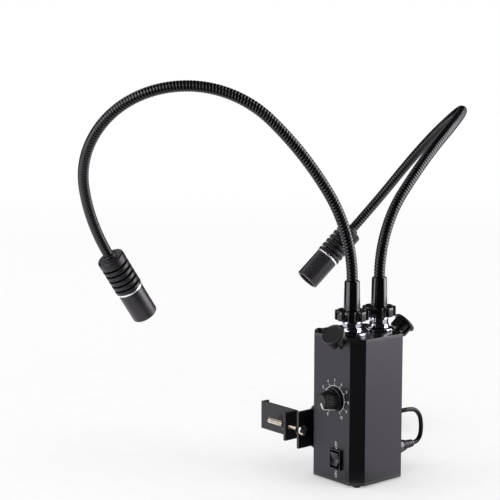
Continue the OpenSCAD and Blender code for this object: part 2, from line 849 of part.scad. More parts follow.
module jaw_nut() {
  x = leg_x - clamp_plate_t - jaw_nut_l;
  color("#9a9aa0")
    difference() {
      along_clamp(x, jaw_nut_d, jaw_nut_l);
      along_clamp(x - cut_extra, clamp_screw_d + 2 * running_gap, jaw_nut_l + 2 * cut_extra);
    }
}

module arm_base(arm) {
  color("#d3d3d6")
    difference() {
      at_arm(arm)
        difference() {
          union() {
            translate([0, 0, deck_z]) cylinder(d = flange_d, h = flange_t);
            translate([0, 0, deck_z + flange_t]) cylinder(d1 = flange_d - 3, d2 = shoulder_d, h = shoulder_h);
            translate([0, 0, bush_z]) cylinder(d = bush_d, h = bush_l);
          }
          translate([0, 0, bush_z - cut_extra])
            cylinder(d = spigot_d + 2 * running_gap, h = bush_l + flange_t + shoulder_h + 2 * cut_extra);
        }
      at_thumb(arm)
        translate([0, 0, thumb_tip / 2])
          cylinder(d = thumb_thread_d + 2 * running_gap, h = thumb_reach(arm) / 2);
    }
}

module arm_base_nuts() {
  color("#a8a8ac")
    for (arm = [FRONT, REAR])
      at_arm(arm)
        translate([0, 0, housing_top_z - bush_nut_t])
          difference() {
            cylinder(d = bush_nut_d, h = bush_nut_t);
            translate([0, 0, -cut_extra])
              cylinder(d = bush_d + 2 * running_gap, h = bush_nut_t + 2 * cut_extra);
          }
}

module swivel_stem(arm) {
  color("#d8d8db")
    at_arm(arm)
      difference() {
        union() {
          translate([0, 0, bush_z]) cylinder(d = spigot_d, h = stem_z - bush_z);
          translate([0, 0, stem_z]) cylinder(d = stem_d, h = collar_z - stem_z);
          translate([0, 0, collar_z]) cylinder(d = thread_d, h = thread_l);
        }
        translate([0, 0, bush_z - cut_extra]) cylinder(d = wire_d, h = sleeve_z - bush_z + 2 * cut_extra);
      }
}

module lobed(d, lobe, count, h) {
  cylinder(d = d - 0.7 * lobe, h = h);
  for (k = [0:count - 1])
    rotate([0, 0, 360 * k / count])
      translate([(d - lobe) / 2, 0, 0])
        cylinder(d = lobe, h = h);
}

module lock_collar(arm) {
  color("#101011")
    at_arm(arm)
      translate([0, 0, collar_z + open_gap])
        difference() {
          lobed(collar_d, lobe_d, collar_lobes, collar_h - open_gap);
          translate([0, 0, -cut_extra])
            cylinder(d = thread_d + 2 * running_gap, h = collar_h + 2 * cut_extra);
        }
}

module thumb_screw(arm) {
  inner = thumb_reach(arm) - thumb_knob_l;
  color("#2a282b")
    at_thumb(arm)
      union() {
        translate([0, 0, thumb_tip]) cylinder(d = thumb_thread_d, h = inner - thumb_tip + cut_extra);
        translate([0, 0, inner])
          lobed(thumb_grip_d, thumb_lobe_d, thumb_lobes, thumb_knob_l - thumb_disc_t + cut_extra);
        translate([0, 0, thumb_reach(arm) - thumb_disc_t]) cylinder(d = thumb_d, h = thumb_disc_t);
      }
}

module neck_sleeve(arm) {
  color("#131214")
    at_arm(arm)
      difference() {
        translate([0, 0, sleeve_z]) cylinder(d1 = sleeve_d, d2 = sleeve_top_d, h = sleeve_top_z - sleeve_z);
        translate([0, 0, sleeve_z - cut_extra]) cylinder(d = wire_d, h = sleeve_top_z - sleeve_z);
        translate([0, 0, sleeve_top_z - sleeve_grip - open_gap])
          cylinder(d = sleeve_bore_d, h = sleeve_grip + open_gap + cut_extra);
      }
}

// Half-section of the heat sink: boss, end cap, fins on a core, and a nose for the barrel
function sink_outline() =
  let (
    pitch = (sink_l - cap_l) / fin_count,
    fins = [for (k = [0:fin_count - 1])
      let (z = cap_l + k * pitch)
        each [
          [sink_core_d / 2, z], [sink_core_d / 2, z + fin_gap],
          [fin_d / 2, z + fin_gap], [fin_d / 2, z + pitch]
        ]]
  )
    concat(
      [[sleeve_bore_d / 2, -sink_boss_l], [sink_boss_d / 2, -sink_boss_l], [sink_boss_d / 2, 0]],
      [[fin_d / 2 - 1, 0], [fin_d / 2, 1], [fin_d / 2, cap_l]],
      fins,
      [[sink_nose_d / 2, sink_l], [sink_nose_d / 2, sink_l + ring_l + sink_nose_l]],
      [[wire_d / 2, sink_l + ring_l + sink_nose_l], [wire_d / 2, head_grip + open_gap]],
      [[sleeve_bore_d / 2, head_grip + open_gap]]
    );

module heat_sink(arm) {
  color("#19181a") at_neck(arm, sections) rotate_extrude() polygon(sink_outline());
}

module trim_ring(arm) {
  color("#cfcfd2")
    at_neck(arm, sections)
      translate([0, 0, sink_l])
        difference() {
          cylinder(d = trim_d, h = ring_l);
          translate([0, 0, -cut_extra])
            cylinder(d = sink_nose_d + 2 * running_gap, h = ring_l + 2 * cut_extra);
        }
}

module lamp_barrel(arm) {
  lip = 1;
  color("#39373b")
    at_neck(arm, sections)
      translate([0, 0, sink_l + ring_l])
        difference() {
          cylinder(d = barrel_d, h = barrel_l);
          translate([0, 0, -cut_extra])
            cylinder(d = barrel_d - 2 * barrel_wall, h = barrel_l - lens_set + cut_extra);
          cylinder(d = barrel_d - 2 * barrel_wall - 2 * lip, h = barrel_l + cut_extra);
        }
}

module led_board(arm) {
  color("#e8e4d0")
    at_neck(arm, sections)
      translate([0, 0, sink_l + ring_l + sink_nose_l]) {
        cylinder(d = led_d, h = led_t);
        translate([0, 0, led_t]) cylinder(d = led_dome_d, h = 1.5);
      }
}

module lens(arm) {
  color("#dfe9f2")
    at_neck(arm, sections)
      translate([0, 0, sink_l + ring_l + barrel_l - lens_set - lens_t])
        cylinder(d = barrel_d - 2 * barrel_wall - 2 * running_gap, h = lens_t);
}

housing();
top_plate();
bottom_plate();
plate_screws();
driver_board();
board_parts();
board_spacers();
dimmer_pot();
dimmer_nut();
dimmer_shaft();
dimmer_knob();
switch_body();
switch_rocker();
dc_jack();
dc_plug();
cord_lead();
cord_coil();
cord_tail();
power_adapter();
adapter_pins();
clamp_bracket();
bracket_screws();
clamp_screw();
clamp_ring();
clamp_jaw();
jaw_nut();
arm_base(FRONT);  // arm_base_front
arm_base(REAR);  // arm_base_rear
arm_base_nuts();
swivel_stem(FRONT);  // swivel_stem_front
swivel_stem(REAR);  // swivel_stem_rear
lock_collar(FRONT);  // lock_collar_front
lock_collar(REAR);  // lock_collar_rear
thumb_screw(FRONT);  // thumb_screw_front
thumb_screw(REAR);  // thumb_screw_rear
neck_sleeve(FRONT);  // neck_sleeve_front
neck_sleeve(REAR);  // neck_sleeve_rear
neck_section(FRONT, 0);  // neck_front_1
neck_section(FRONT, 1);  // neck_front_2
neck_section(FRONT, 2);  // neck_front_3
neck_section(FRONT, 3);  // neck_front_4
neck_section(FRONT, 4);  // neck_front_5
neck_section(FRONT, 5);  // neck_front_6
neck_section(REAR, 0);  // neck_rear_1
neck_section(REAR, 1);  // neck_rear_2
neck_section(REAR, 2);  // neck_rear_3
neck_section(REAR, 3);  // neck_rear_4
neck_section(REAR, 4);  // neck_rear_5
neck_section(REAR, 5);  // neck_rear_6
heat_sink(FRONT);  // heat_sink_front
heat_sink(REAR);  // heat_sink_rear
trim_ring(FRONT);  // trim_ring_front
trim_ring(REAR);  // trim_ring_rear
lamp_barrel(FRONT);  // lamp_barrel_front
lamp_barrel(REAR);  // lamp_barrel_rear
led_board(FRONT);  // led_board_front
led_board(REAR);  // led_board_rear
lens(FRONT);  // lens_front
lens(REAR);  // lens_rear
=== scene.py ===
"""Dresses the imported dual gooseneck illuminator: housing, panel, clamp, arms, lamp heads, lead and studio.

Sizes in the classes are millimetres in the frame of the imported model; Blender's objects are in metres.
"""

import logging
import math
from collections.abc import Callable, Sequence
from dataclasses import dataclass, field
from enum import Enum

import bpy
from mathutils import Matrix, Vector


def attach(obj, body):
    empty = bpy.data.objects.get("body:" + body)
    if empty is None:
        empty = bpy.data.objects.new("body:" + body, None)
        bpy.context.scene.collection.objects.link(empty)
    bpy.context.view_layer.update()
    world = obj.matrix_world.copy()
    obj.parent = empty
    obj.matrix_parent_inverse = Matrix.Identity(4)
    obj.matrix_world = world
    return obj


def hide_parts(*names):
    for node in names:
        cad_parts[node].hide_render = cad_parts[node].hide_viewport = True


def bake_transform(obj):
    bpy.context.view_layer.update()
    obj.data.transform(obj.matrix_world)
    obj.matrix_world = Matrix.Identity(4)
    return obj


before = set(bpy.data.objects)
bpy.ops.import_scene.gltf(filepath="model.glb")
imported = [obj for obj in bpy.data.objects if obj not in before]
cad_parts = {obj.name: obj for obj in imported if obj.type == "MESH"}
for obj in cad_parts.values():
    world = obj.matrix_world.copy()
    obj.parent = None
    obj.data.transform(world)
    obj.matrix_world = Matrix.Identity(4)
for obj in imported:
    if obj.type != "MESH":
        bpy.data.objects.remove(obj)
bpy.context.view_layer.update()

LOG = logging.getLogger("illuminator")
MM = 0.001
FRONT_Y = -25.0
REAR_Y = 25.0
DECK_Z = 101.4
ARM_X = 5.0

Profile = Sequence[tuple]


class Arm(Enum):
    """The two arms and the depth of each one's axis."""

    FRONT = "front"
    REAR = "rear"

    @property
    def y(self) -> float:
        """Depth of this arm's axis."""
        return -11.5 if self is Arm.FRONT else 14.5


class Grain(Enum):
    """How a surface was worked, as the stretch of its grain along each texture axis."""

    EVEN = (1.0, 1.0, 1.0)
    DRAWN = (1.0, 1.0, 0.012)
    TURNED = (0.01, 1.0, 1.0)


# ---------------------------------------------------------------- finishes


def linear(hex_colour: str) -> tuple[float, float, float, float]:
    """Turns an sRGB hex colour into linear RGBA."""
    parts = [int(hex_colour[i:i + 2], 16) / 255 for i in (1, 3, 5)]
    return (*[c / 12.92 if c <= 0.04045 else ((c + 0.055) / 1.055) ** 2.4 for c in parts], 1.0)


def add_node(tree: bpy.types.NodeTree, kind: str, inputs: dict | None = None, **settings: object) -> bpy.types.Node:
    """Adds a shader node, sets it and links it.

    Args:
        tree: Node tree of a material or the world.
        kind: Blender's class name of the node, after ShaderNode.
        inputs: A value or a source socket for each input, by name or number.
        settings: Attributes of the node.

    Returns:
        The new node.
    """
    node = tree.nodes.new("ShaderNode" + kind)
    for key, value in settings.items():
        setattr(node, key, value)
    for key, value in (inputs or {}).items():
        if isinstance(value, bpy.types.NodeSocket):
            tree.links.new(value, node.inputs[key])
        else:
            node.inputs[key].default_value = value
    return node


def emptied(holder: bpy.types.Material | bpy.types.World) -> bpy.types.NodeTree:
    """Gives a material or the world a node tree with nothing in it.

    Args:
        holder: The material or world.

    Returns:
        Its node tree.
    """
    holder.use_nodes = True
    holder.node_tree.nodes.clear()
    return holder.node_tree


def linked(name: str, data: bpy.types.ID) -> bpy.types.Object:
    """Puts a new object into the scene.

    Args:
        name: Name of the object.
        data: Its mesh, curve, camera or lamp.

    Returns:
        The object.
    """
    made = bpy.data.objects.new(name, data)
    bpy.context.scene.collection.objects.link(made)
    return made


def aim(made: bpy.types.Object, way: Vector) -> None:
    """Points a camera or a lamp along a direction."""
    made.rotation_mode = "QUATERNION"
    made.rotation_quaternion = way.to_track_quat("-Z", "Y")


@dataclass(frozen=True)
class Finish:
    """A material and the way its surface was made; lengths are in millimetres."""

    name: str
    slot: str | None
    colour: str
    shade: str
    roughness: float
    spread: float = 0.05
    metallic: float = 0.0
    ior: float = 1.5
    grain: Grain = Grain.EVEN
    grain_mm: float = 0.6
    bump_mm: float = 0.01
    mottle_mm: float = 14.0
    # Colour and width of the lightened edges, which stand for wear and for painted highlights along the edges.
    edge_wear_and_highlight: str | None = None
    edge_wear_and_highlight_mm: float = 0.5
    transmission: float = 0.0

    def material(self) -> bpy.types.Material:
        """Builds the finish's node material once.

        Returns:
            The material.
        """
        made = bpy.data.materials.get(self.name)
        if made is not None:
            return made
        made = bpy.data.materials.new(self.name)
        tree = emptied(made)
        coords = add_node(tree, "TexCoord")
        source = coords.outputs["UV" if self.grain is Grain.TURNED else "Object"]
        placed = add_node(tree, "Mapping", {"Vector": source, "Scale": self.grain.value})
        fine = add_node(tree, "TexNoise", {
            "Vector": placed.outputs[0], "Scale": 1 / (self.grain_mm * MM), "Detail": 3.0, "Roughness": 0.55})
        broad = add_node(tree, "TexNoise", {
            "Vector": coords.outputs["Object"], "Scale": 1 / (self.mottle_mm * MM), "Detail": 4.0})
        tone = add_node(tree, "MapRange", {
            "Value": broad.outputs["Fac"], "From Min": 0.35, "From Max": 0.65})
        colour = add_node(tree, "Mix", {
            0: tone.outputs[0], 6: linear(self.colour), 7: linear(self.shade)}, data_type="RGBA").outputs[2]
        # Lighter edges: wear, and painted highlights along them.
        if self.edge_wear_and_highlight:
            colour = self._worn_and_highlit_edges(tree, colour, fine.outputs["Fac"])
        mixed = add_node(tree, "Math", {
            0: fine.outputs["Fac"], 1: broad.outputs["Fac"]}, operation="ADD")
        rough = add_node(tree, "MapRange", {
            "Value": mixed.outputs[0], "From Min": 0.7, "From Max": 1.3,
            "To Min": max(self.roughness - self.spread, 0.0), "To Max": self.roughness + self.spread})
        bump = add_node(tree, "Bump", {
            "Strength": 0.6, "Distance": self.bump_mm * MM, "Height": fine.outputs["Fac"]})
        shader = add_node(tree, "BsdfPrincipled", {
            "Base Color": colour, "Roughness": rough.outputs[0], "Normal": bump.outputs[0],
            "Metallic": self.metallic, "Transmission Weight": self.transmission})
        if self.metallic < 1:
            shader.inputs["IOR"].default_value = self.ior
        add_node(tree, "OutputMaterial", {"Surface": shader.outputs[0]})
        return made

    def _worn_and_highlit_edges(
            self, tree: bpy.types.NodeTree, colour: bpy.types.NodeSocket, breakup: bpy.types.NodeSocket,
    ) -> bpy.types.NodeSocket:
        """Lightens the edges, as wear where handling rubs the finish thin and as painted highlights along them.

        Args:
            tree: The material's node tree.
            colour: Colour of the flat surface.
            breakup: Grain that makes the lightened edges uneven.

        Returns:
            The colour with its edges lightened as wear and as painted highlights.
        """
        rounded = add_node(tree, "Bevel", {"Radius": self.edge_wear_and_highlight_mm * MM}, samples=4)
        facing = add_node(tree, "NewGeometry")
        agree = add_node(tree, "VectorMath", {
            0: rounded.outputs[0], 1: facing.outputs["Normal"]}, operation="DOT_PRODUCT")
        edge = add_node(tree, "MapRange", {
            "Value": agree.outputs["Value"], "From Min": 0.995, "From Max": 0.93})
        patchy = add_node(tree, "Math", {0: edge.outputs[0], 1: breakup}, operation="MULTIPLY")
        return add_node(tree, "Mix", {
            0: patchy.outputs[0], 6: colour, 7: linear(self.edge_wear_and_highlight)}, data_type="RGBA").outputs[2]


# Extruded aluminium, black anodised: a satin skin with faint draw lines up its length; its edges are lightened as wear
# and as painted highlights.
HOUSING_SKIN = Finish(
    "black_anodised_extrusion", "black_anodised_extrusion", "#0f0f11", "#131315", 0.36, 0.04, ior=1.72,
    grain=Grain.DRAWN, grain_mm=0.45, bump_mm=0.006, mottle_mm=18, edge_wear_and_highlight="#5b5a5e", edge_wear_and_highlight_mm=0.6)
# Steel plate, black stove enamel: darker and a little smoother than the extrusion, with fine orange peel; its edges are
# lightened as wear and as painted highlights.
PLATE_ENAMEL = Finish(
    "black_stove_enamelled_plate", "black_coated_plate", "#0d0d0e", "#121213", 0.32, 0.05, ior=1.6,
    grain_mm=0.9, bump_mm=0.012, edge_wear_and_highlight="#4a494c", edge_wear_and_highlight_mm=0.5)
# Steel screws, black oxide: a dull dark metal with a slight oily sheen.
BLACK_OXIDE = Finish(
    "black_oxide_steel", "black_oxide_steel", "#2a2a2d", "#1f1f21", 0.36, 0.08, metallic=0.85,
    grain_mm=0.3, bump_mm=0.006)
# Fibreglass board under green solder mask.
BOARD_MASK = Finish(
    "solder_masked_fibreglass", "circuit_board", "#1d5a35", "#174a2b", 0.3, 0.06, grain_mm=0.5, bump_mm=0.01)
# Moulded and wound components, seen only with the housing open.
BOARD_PARTS = Finish(
    "moulded_board_components", "board_components", "#2b2c33", "#4a3a2c", 0.45, 0.08, grain_mm=0.8, mottle_mm=6)
# Turned brass spacers.
BRASS = Finish(
    "turned_brass", "brass_spacer", "#c7a75b", "#b8954a", 0.24, 0.06, metallic=1.0, grain_mm=0.2, bump_mm=0.004)
# Zinc-plated steel: bluish grey with fine crystal mottling.
ZINC = Finish(
    "zinc_plated_steel", "zinc_steel", "#b4b6ba", "#9c9ea3", 0.3, 0.08, metallic=1.0, grain_mm=0.35, mottle_mm=2)
# Zinc-plated steel, black passivated: a dark metal with a dull sheen.
BLACK_ZINC = Finish(
    "black_passivated_zinc_steel", "zinc_steel", "#26262a", "#1c1c1f", 0.34, 0.08, metallic=1.0,
    grain_mm=0.35, mottle_mm=2)
# ABS knobs, moulded with a fine spark-eroded texture: matt charcoal black.
KNOB_ABS = Finish(
    "moulded_matt_abs", "black_knob", "#0c0c0d", "#111112", 0.42, 0.05, ior=1.46, grain_mm=0.35, bump_mm=0.02)
# Nylon switch parts, moulded smooth: black with a soft shine.
SWITCH_NYLON = Finish(
    "moulded_nylon", "black_switch", "#08080a", "#0c0c0d", 0.28, 0.05, ior=1.4, grain_mm=0.5, bump_mm=0.008)
# Soft PVC jacket, extruded: deep black, slightly wavy, with a thin soft shine.
LEAD_PVC = Finish(
    "extruded_soft_pvc", "black_pvc", "#070708", "#0b0b0c", 0.3, 0.05, ior=1.24, grain_mm=1.4, bump_mm=0.02)
# Soft PVC plug and relief, moulded: a little greyer and glossier than the jacket.
PLUG_PVC = Finish(
    "moulded_soft_pvc", "black_pvc", "#0f0f10", "#141415", 0.28, 0.05, ior=1.56, grain_mm=0.8, bump_mm=0.02)
# ABS adapter case, moulded with a coarse spark-eroded texture.
ADAPTER_ABS = Finish(
    "spark_eroded_abs", "black_abs", "#141415", "#1a1a1b", 0.5, 0.05, ior=1.53, grain_mm=0.5, bump_mm=0.05)
# Nickel-plated brass pins.
PIN_NICKEL = Finish(
    "nickel_plated_pins", "nickel_pins", "#cbc7be", "#b9b5ab", 0.2, 0.06, metallic=1.0, grain_mm=0.3, bump_mm=0.004)
# Pressed steel clamp plates, black powder coat: satin with visible orange peel, and edges lightened as rubbed wear and
# as painted highlights.
CLAMP_COAT = Finish(
    "powder_coated_steel", "black_clamp_steel", "#0b0b0c", "#0f0f10", 0.42, 0.05, ior=1.46,
    grain_mm=0.8, bump_mm=0.016, edge_wear_and_highlight="#77767a", edge_wear_and_highlight_mm=0.45)
# Machine screw, nickel plated: bright with a warm tint.
SCREW_NICKEL = Finish(
    "nickel_plated_machine_screw", "bright_screw", "#e0dacf", "#d0c8bb", 0.12, 0.04, metallic=1.0,
    grain_mm=0.4, bump_mm=0.004, mottle_mm=5)
# Brass turnings, chrome plated and buffed: a mirror.
CHROME = Finish(
    "buffed_chrome_plate", "chrome_base", "#b0b1b6", "#a3a4aa", 0.05, 0.02, metallic=1.0, grain=Grain.TURNED,
    grain_mm=0.5, bump_mm=0.001)
# Phenolic collars, moulded and polished: deep gloss black.
COLLAR_PHENOLIC = Finish(
    "polished_phenolic", "black_collar", "#080809", "#0c0c0d", 0.13, 0.04, ior=1.55, grain_mm=1.6, bump_mm=0.006)
# Steel sleeves, black lacquer: piano gloss.
SLEEVE_LACQUER = Finish(
    "black_lacquered_sleeve", "black_sleeve", "#080809", "#0b0b0c", 0.1, 0.03, ior=1.48, grain_mm=2.2, bump_mm=0.006)
# Gooseneck of wound steel strip, black chrome: shiny turns that each catch the light.
NECK_STEEL = Finish(
    "black_wound_steel", "black_gooseneck", "#0a090a", "#0e0d0f", 0.17, 0.05, ior=1.42, grain_mm=0.8, bump_mm=0.006)
# Aluminium heat sinks, turned and black anodised: satin black with fine tool marks; the fin edges are lightened as wear
# and as painted highlights.
SINK_ANODISED = Finish(
    "turned_black_anodised_sink", "black_heat_sink", "#0e0d0f", "#131214", 0.4, 0.05, ior=1.42,
    grain=Grain.TURNED, grain_mm=0.22, bump_mm=0.01, edge_wear_and_highlight="#8f8b90", edge_wear_and_highlight_mm=0.35)
# Trim ring, turned bright aluminium.
RING_ALUMINIUM = Finish(
    "turned_bright_aluminium", "silver_ring", "#f0f0f1", "#e6e6e8", 0.4, 0.05, metallic=1.0, grain=Grain.TURNED,
    grain_mm=0.15, bump_mm=0.004)
# Lamp barrels, aluminium with a grey-black anodised satin skin and fine tool marks.
BARREL_ANODISED = Finish(
    "turned_grey_anodised_barrel", "grey_barrel", "#1c1b1e", "#222024", 0.36, 0.04, ior=1.46, grain=Grain.TURNED,
    grain_mm=0.25, bump_mm=0.006)
# LED board: white solder mask on aluminium.
LED_MASK = Finish(
    "white_masked_led_board", "led_board", "#e6e4dc", "#d9d7cf", 0.4, 0.06, grain_mm=0.6)
# Phosphor dome of the LED.
LED_PHOSPHOR = Finish(
    "silicone_phosphor", "led_board", "#e3c64a", "#d8b93c", 0.35, 0.05, grain_mm=0.25, bump_mm=0.02)
# Acrylic lens, moulded clear.
LENS_ACRYLIC = Finish(
    "moulded_clear_acrylic", "clear_lens", "#f4f8fb", "#eef4f8", 0.03, 0.01, ior=1.49, grain_mm=3.0, bump_mm=0.002,
    transmission=1.0)
# Screen-printed white ink: slightly raised, with an uneven edge of pigment.
PANEL_INK = Finish(
    "screen_printed_ink", None, "#fcfcfd", "#eeeef0", 0.5, 0.08, grain_mm=0.25, bump_mm=0.01)
# Woven hook-and-loop strap round the spare lead; the weave is drawn at 0.7 mm so that it shows.
TIE_NYLON = Finish(
    "woven_nylon_strap", None, "#1b1b1e", "#242428", 0.7, 0.08, grain_mm=0.7, bump_mm=0.12, mottle_mm=1.4)


# ---------------------------------------------------------------- shapes


def softened(points: Profile, radius: float, steps: int = 3) -> list[tuple]:
    """Rounds the corners of an open profile.

    Args:
        points: Profile points; only the first two numbers of each are moved.
        radius: How far from each corner the rounding starts.
        steps: Number of edges in each rounding.

    Returns:
        The rounded profile.
    """
    made = [tuple(points[0])]
    for before, corner, after in zip(points, points[1:], points[2:]):
        at, rest = Vector(corner[:2]), tuple(corner[2:])
        sides = []
        for end in (before, after):
            way = Vector(end[:2]) - at
            sides.append(at + way * min(radius / max(way.length, 1e-9), 0.45))
        for k in range(steps + 1):
            t = k / steps
            place = sides[0] * (1 - t) ** 2 + at * 2 * t * (1 - t) + sides[1] * t ** 2
            made.append((place.x, place.y, *rest))
    made.append(tuple(points[-1]))
    return made


def lobes(reach: float, lobe_r: float, count: int, core_r: float, blend: float = 0.5) -> Callable[[float], float]:
    """Gives the outline of a lobed knob.

    Args:
        reach: Radius over the lobes.
        lobe_r: Radius of one lobe.
        count: Number of lobes.
        core_r: Radius of the round core between them.
        blend: Width of the fillet between core and lobe.

    Returns:
        A function from angle to how far the outline lies outside the reach (zero or less).
    """
    centre = reach - lobe_r

    def outline(angle: float) -> float:
        """Offset from the full reach at an angle."""
        step = math.tau / count
        away = (angle + step / 2) % step - step / 2
        inside = lobe_r ** 2 - (centre * math.sin(away)) ** 2
        lobe = centre * math.cos(away) + math.sqrt(inside) if inside > 0 else 0.0
        mix = max(blend - abs(lobe - core_r), 0.0) / blend
        return max(lobe, core_r) + mix * mix * blend / 4 - reach

    return outline


def flat_lobes(count: int, half: float, ramp: float, depth: float) -> Callable[[float], float]:
    """Outline of flat lobes with grooves between them, for grips.

    Args:
        count: Number of lobes.
        half: Half a lobe's width, in degrees.
        ramp: Width of a groove's side, in degrees.
        depth: Depth of the grooves.

    Returns:
        The offset of the radius at an angle.
    """
    step = 360.0 / count

    def outline(angle: float) -> float:
        """Offset at one angle."""
        away = abs((math.degrees(angle) + step / 2) % step - step / 2)
        t = min(max((away - half) / ramp, 0.0), 1.0)
        return -depth * t * t * (3 - 2 * t)

    return outline


@dataclass
class Shape:
    """A mesh being made, in millimetres, with texture places for each face corner in metres."""

    verts: list[Vector] = field(default_factory=list)
    faces: list[tuple[int, ...]] = field(default_factory=list)
    uvs: list[list[tuple[float, float]]] = field(default_factory=list)

    @classmethod
    def turned(
            cls, profile: Profile, steps: int = 72, outline: Callable[[float], float] | None = None,
            closed: bool = False,
    ) -> "Shape":
        """Turns a profile of (radius, height) pairs about +Z.

        Args:
            profile: Points from the lower end up; a third number is the share of the outline that a point takes.
            steps: Number of segments round the axis.
            outline: Offset of the radius at an angle, for lobes and flutes.
            closed: Whether the profile closes on itself round a bore.

        Returns:
            The shape.
        """
        made = cls()
        points = list(profile) + ([profile[0]] if closed else [])
        reach = max(p[0] for p in points)
        along, rows = 0.0, []
        for i, point in enumerate(points):
            radius, height = point[0], point[1]
            share = point[2] if len(point) > 2 else 0.0
            if i:
                along += math.dist(point[:2], points[i - 1][:2])
            if closed and i == len(points) - 1:
                rows.append((rows[0][0], along))
                continue
            if radius < 1e-6:
                made.verts.append(Vector((0, 0, height)))
                rows.append(([len(made.verts) - 1] * steps, along))
                continue
            ring = []
            for j in range(steps):
                angle = math.tau * j / steps
                r = radius + (share * outline(angle) if outline else 0.0)
                made.verts.append(Vector((r * math.cos(angle), r * math.sin(angle), height)))
                ring.append(len(made.verts) - 1)
            rows.append((ring, along))
        for (low, v0), (high, v1) in zip(rows, rows[1:]):
            for j in range(steps):
                k = (j + 1) % steps
                u0, u1 = (math.tau * n / steps * reach * MM for n in (j, j + 1))
                corners = [(low[j], (u0, v0 * MM)), (low[k], (u1, v0 * MM)),
                           (high[k], (u1, v1 * MM)), (high[j], (u0, v1 * MM))]
                kept = [c for n, c in enumerate(corners) if c[0] != corners[n - 1][0]]
                if len(kept) > 2:
                    made.faces.append(tuple(c[0] for c in kept))
                    made.uvs.append([c[1] for c in kept])
        return made

    @classmethod
    def lofted(cls, rings: Sequence[Sequence[Vector]]) -> "Shape":
        """Skins rings of equal count and caps both ends.

        Args:
            rings: Points of each ring, counter-clockwise as seen from the last ring.

        Returns:
            The shape.
        """
        made, count = cls(), len(rings[0])
        for ring in rings:
            made.verts += [Vector(p) for p in ring]
        for i in range(len(rings) - 1):
            for j in range(count):
                k = (j + 1) % count
                made.faces.append((i * count + j, i * count + k, (i + 1) * count + k, (i + 1) * count + j))
        made.faces.append(tuple(reversed(range(count))))
        made.faces.append(tuple(range((len(rings) - 1) * count, len(rings) * count)))
        return made.unmapped()

    @classmethod
    def block(cls, low: Sequence[float], high: Sequence[float]) -> "Shape":
        """A box between two corners, for cutters."""
        (x0, y0, z0), (x1, y1, z1) = low, high
        return cls.lofted([[Vector(p) for p in ((x0, y0, z), (x1, y0, z), (x1, y1, z), (x0, y1, z))] for z in (z0, z1)])

    @classmethod
    def finished(cls, holder: bpy.types.Object) -> "Shape":
        """Reads the mesh that an object's modifiers or letters make.

        Args:
            holder: The object, which is in metres.

        Returns:
            The shape.
        """
        mesh = holder.evaluated_get(bpy.context.evaluated_depsgraph_get()).to_mesh()
        return cls([v.co * (1 / MM) for v in mesh.vertices], [tuple(p.vertices) for p in mesh.polygons]).unmapped()

    def unmapped(self) -> "Shape":
        """Gives every face corner the same texture place, for finishes that don't follow the surface."""
        self.uvs = [[(0.0, 0.0)] * len(f) for f in self.faces]
        return self

    def placed(self, place: Matrix) -> "Shape":
        """The shape moved by a matrix in millimetres."""
        return Shape([place @ v for v in self.verts], list(self.faces), list(self.uvs))

    def joined(self, *others: "Shape") -> "Shape":
        """Puts shapes together as one mesh of separate shells.

        Args:
            others: Shapes to add.

        Returns:
            The joined shape.
        """
        made = Shape(list(self.verts), list(self.faces), list(self.uvs))
        for other in others:
            start = len(made.verts)
            made.verts += other.verts
            made.faces += [tuple(i + start for i in f) for f in other.faces]
            made.uvs += other.uvs
        return made

    def mesh(self, name: str) -> bpy.types.Mesh:
        """Makes a Blender mesh in metres.

        Args:
            name: Name of the mesh.

        Returns:
            The mesh.
        """
        made = bpy.data.meshes.new(name)
        made.from_pydata([v * MM for v in self.verts], [], self.faces)
        layer = made.uv_layers.new(name="UVMap")
        flat = [c for corners in self.uvs for uv in corners for c in uv]
        layer.data.foreach_set("uv", flat)
        made.validate()
        made.update()
        return made

    def carved(self, *cutters: "Shape") -> "Shape":
        """Cuts shapes out of this one.

        Args:
            cutters: Closed shapes to take away.

        Returns:
            The carved shape.
        """
        body = linked("carving", self.mesh("carving"))
        tools = []
        for cutter in cutters:
            tool = linked("cutter", cutter.mesh("cutter"))
            cut = body.modifiers.new("cut", "BOOLEAN")
            cut.operation, cut.solver, cut.object = "DIFFERENCE", "EXACT", tool
            tools.append(tool)
        made = Shape.finished(body)
        for used in (body, *tools):
            bpy.data.objects.remove(used)
        return made

    def piece(
            self, name: str, finish: Finish, body: str | None, replaced: Sequence[str] = (), smooth: float = 35.0,
    ) -> bpy.types.Object:
        """Makes the shape a piece of the object.

        Args:
            name: Name of the piece.
            finish: Its finish.
            body: The CAD body that carries it, or None to leave it without one.
            replaced: CAD nodes that it stands for.
            smooth: Greatest angle between faces that still shade as one surface, in degrees.

        Returns:
            The new object.
        """
        made = linked(name, self.mesh(name))
        made.data.shade_smooth()
        made.data.set_sharp_from_angle(angle=math.radians(smooth))
        return adopt(made, finish, body, replaced)


def adopt(
        made: bpy.types.Object, finish: Finish, body: str | None, replaced: Sequence[str] = (),
) -> bpy.types.Object:
    """Gives a new piece its finish, its body and the nodes it stands for.

    Args:
        made: The piece.
        finish: Its finish.
        body: The CAD body that carries it, or None to leave it without one.
        replaced: CAD nodes that it stands for.

    Returns:
        The same piece.
    """
    made.data.materials.clear()
    made.data.materials.append(finish.material())
    if replaced:
        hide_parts(*replaced)
    if body:
        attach(made, body)
    LOG.info("piece %s: %s", made.name, finish.name)
    return made


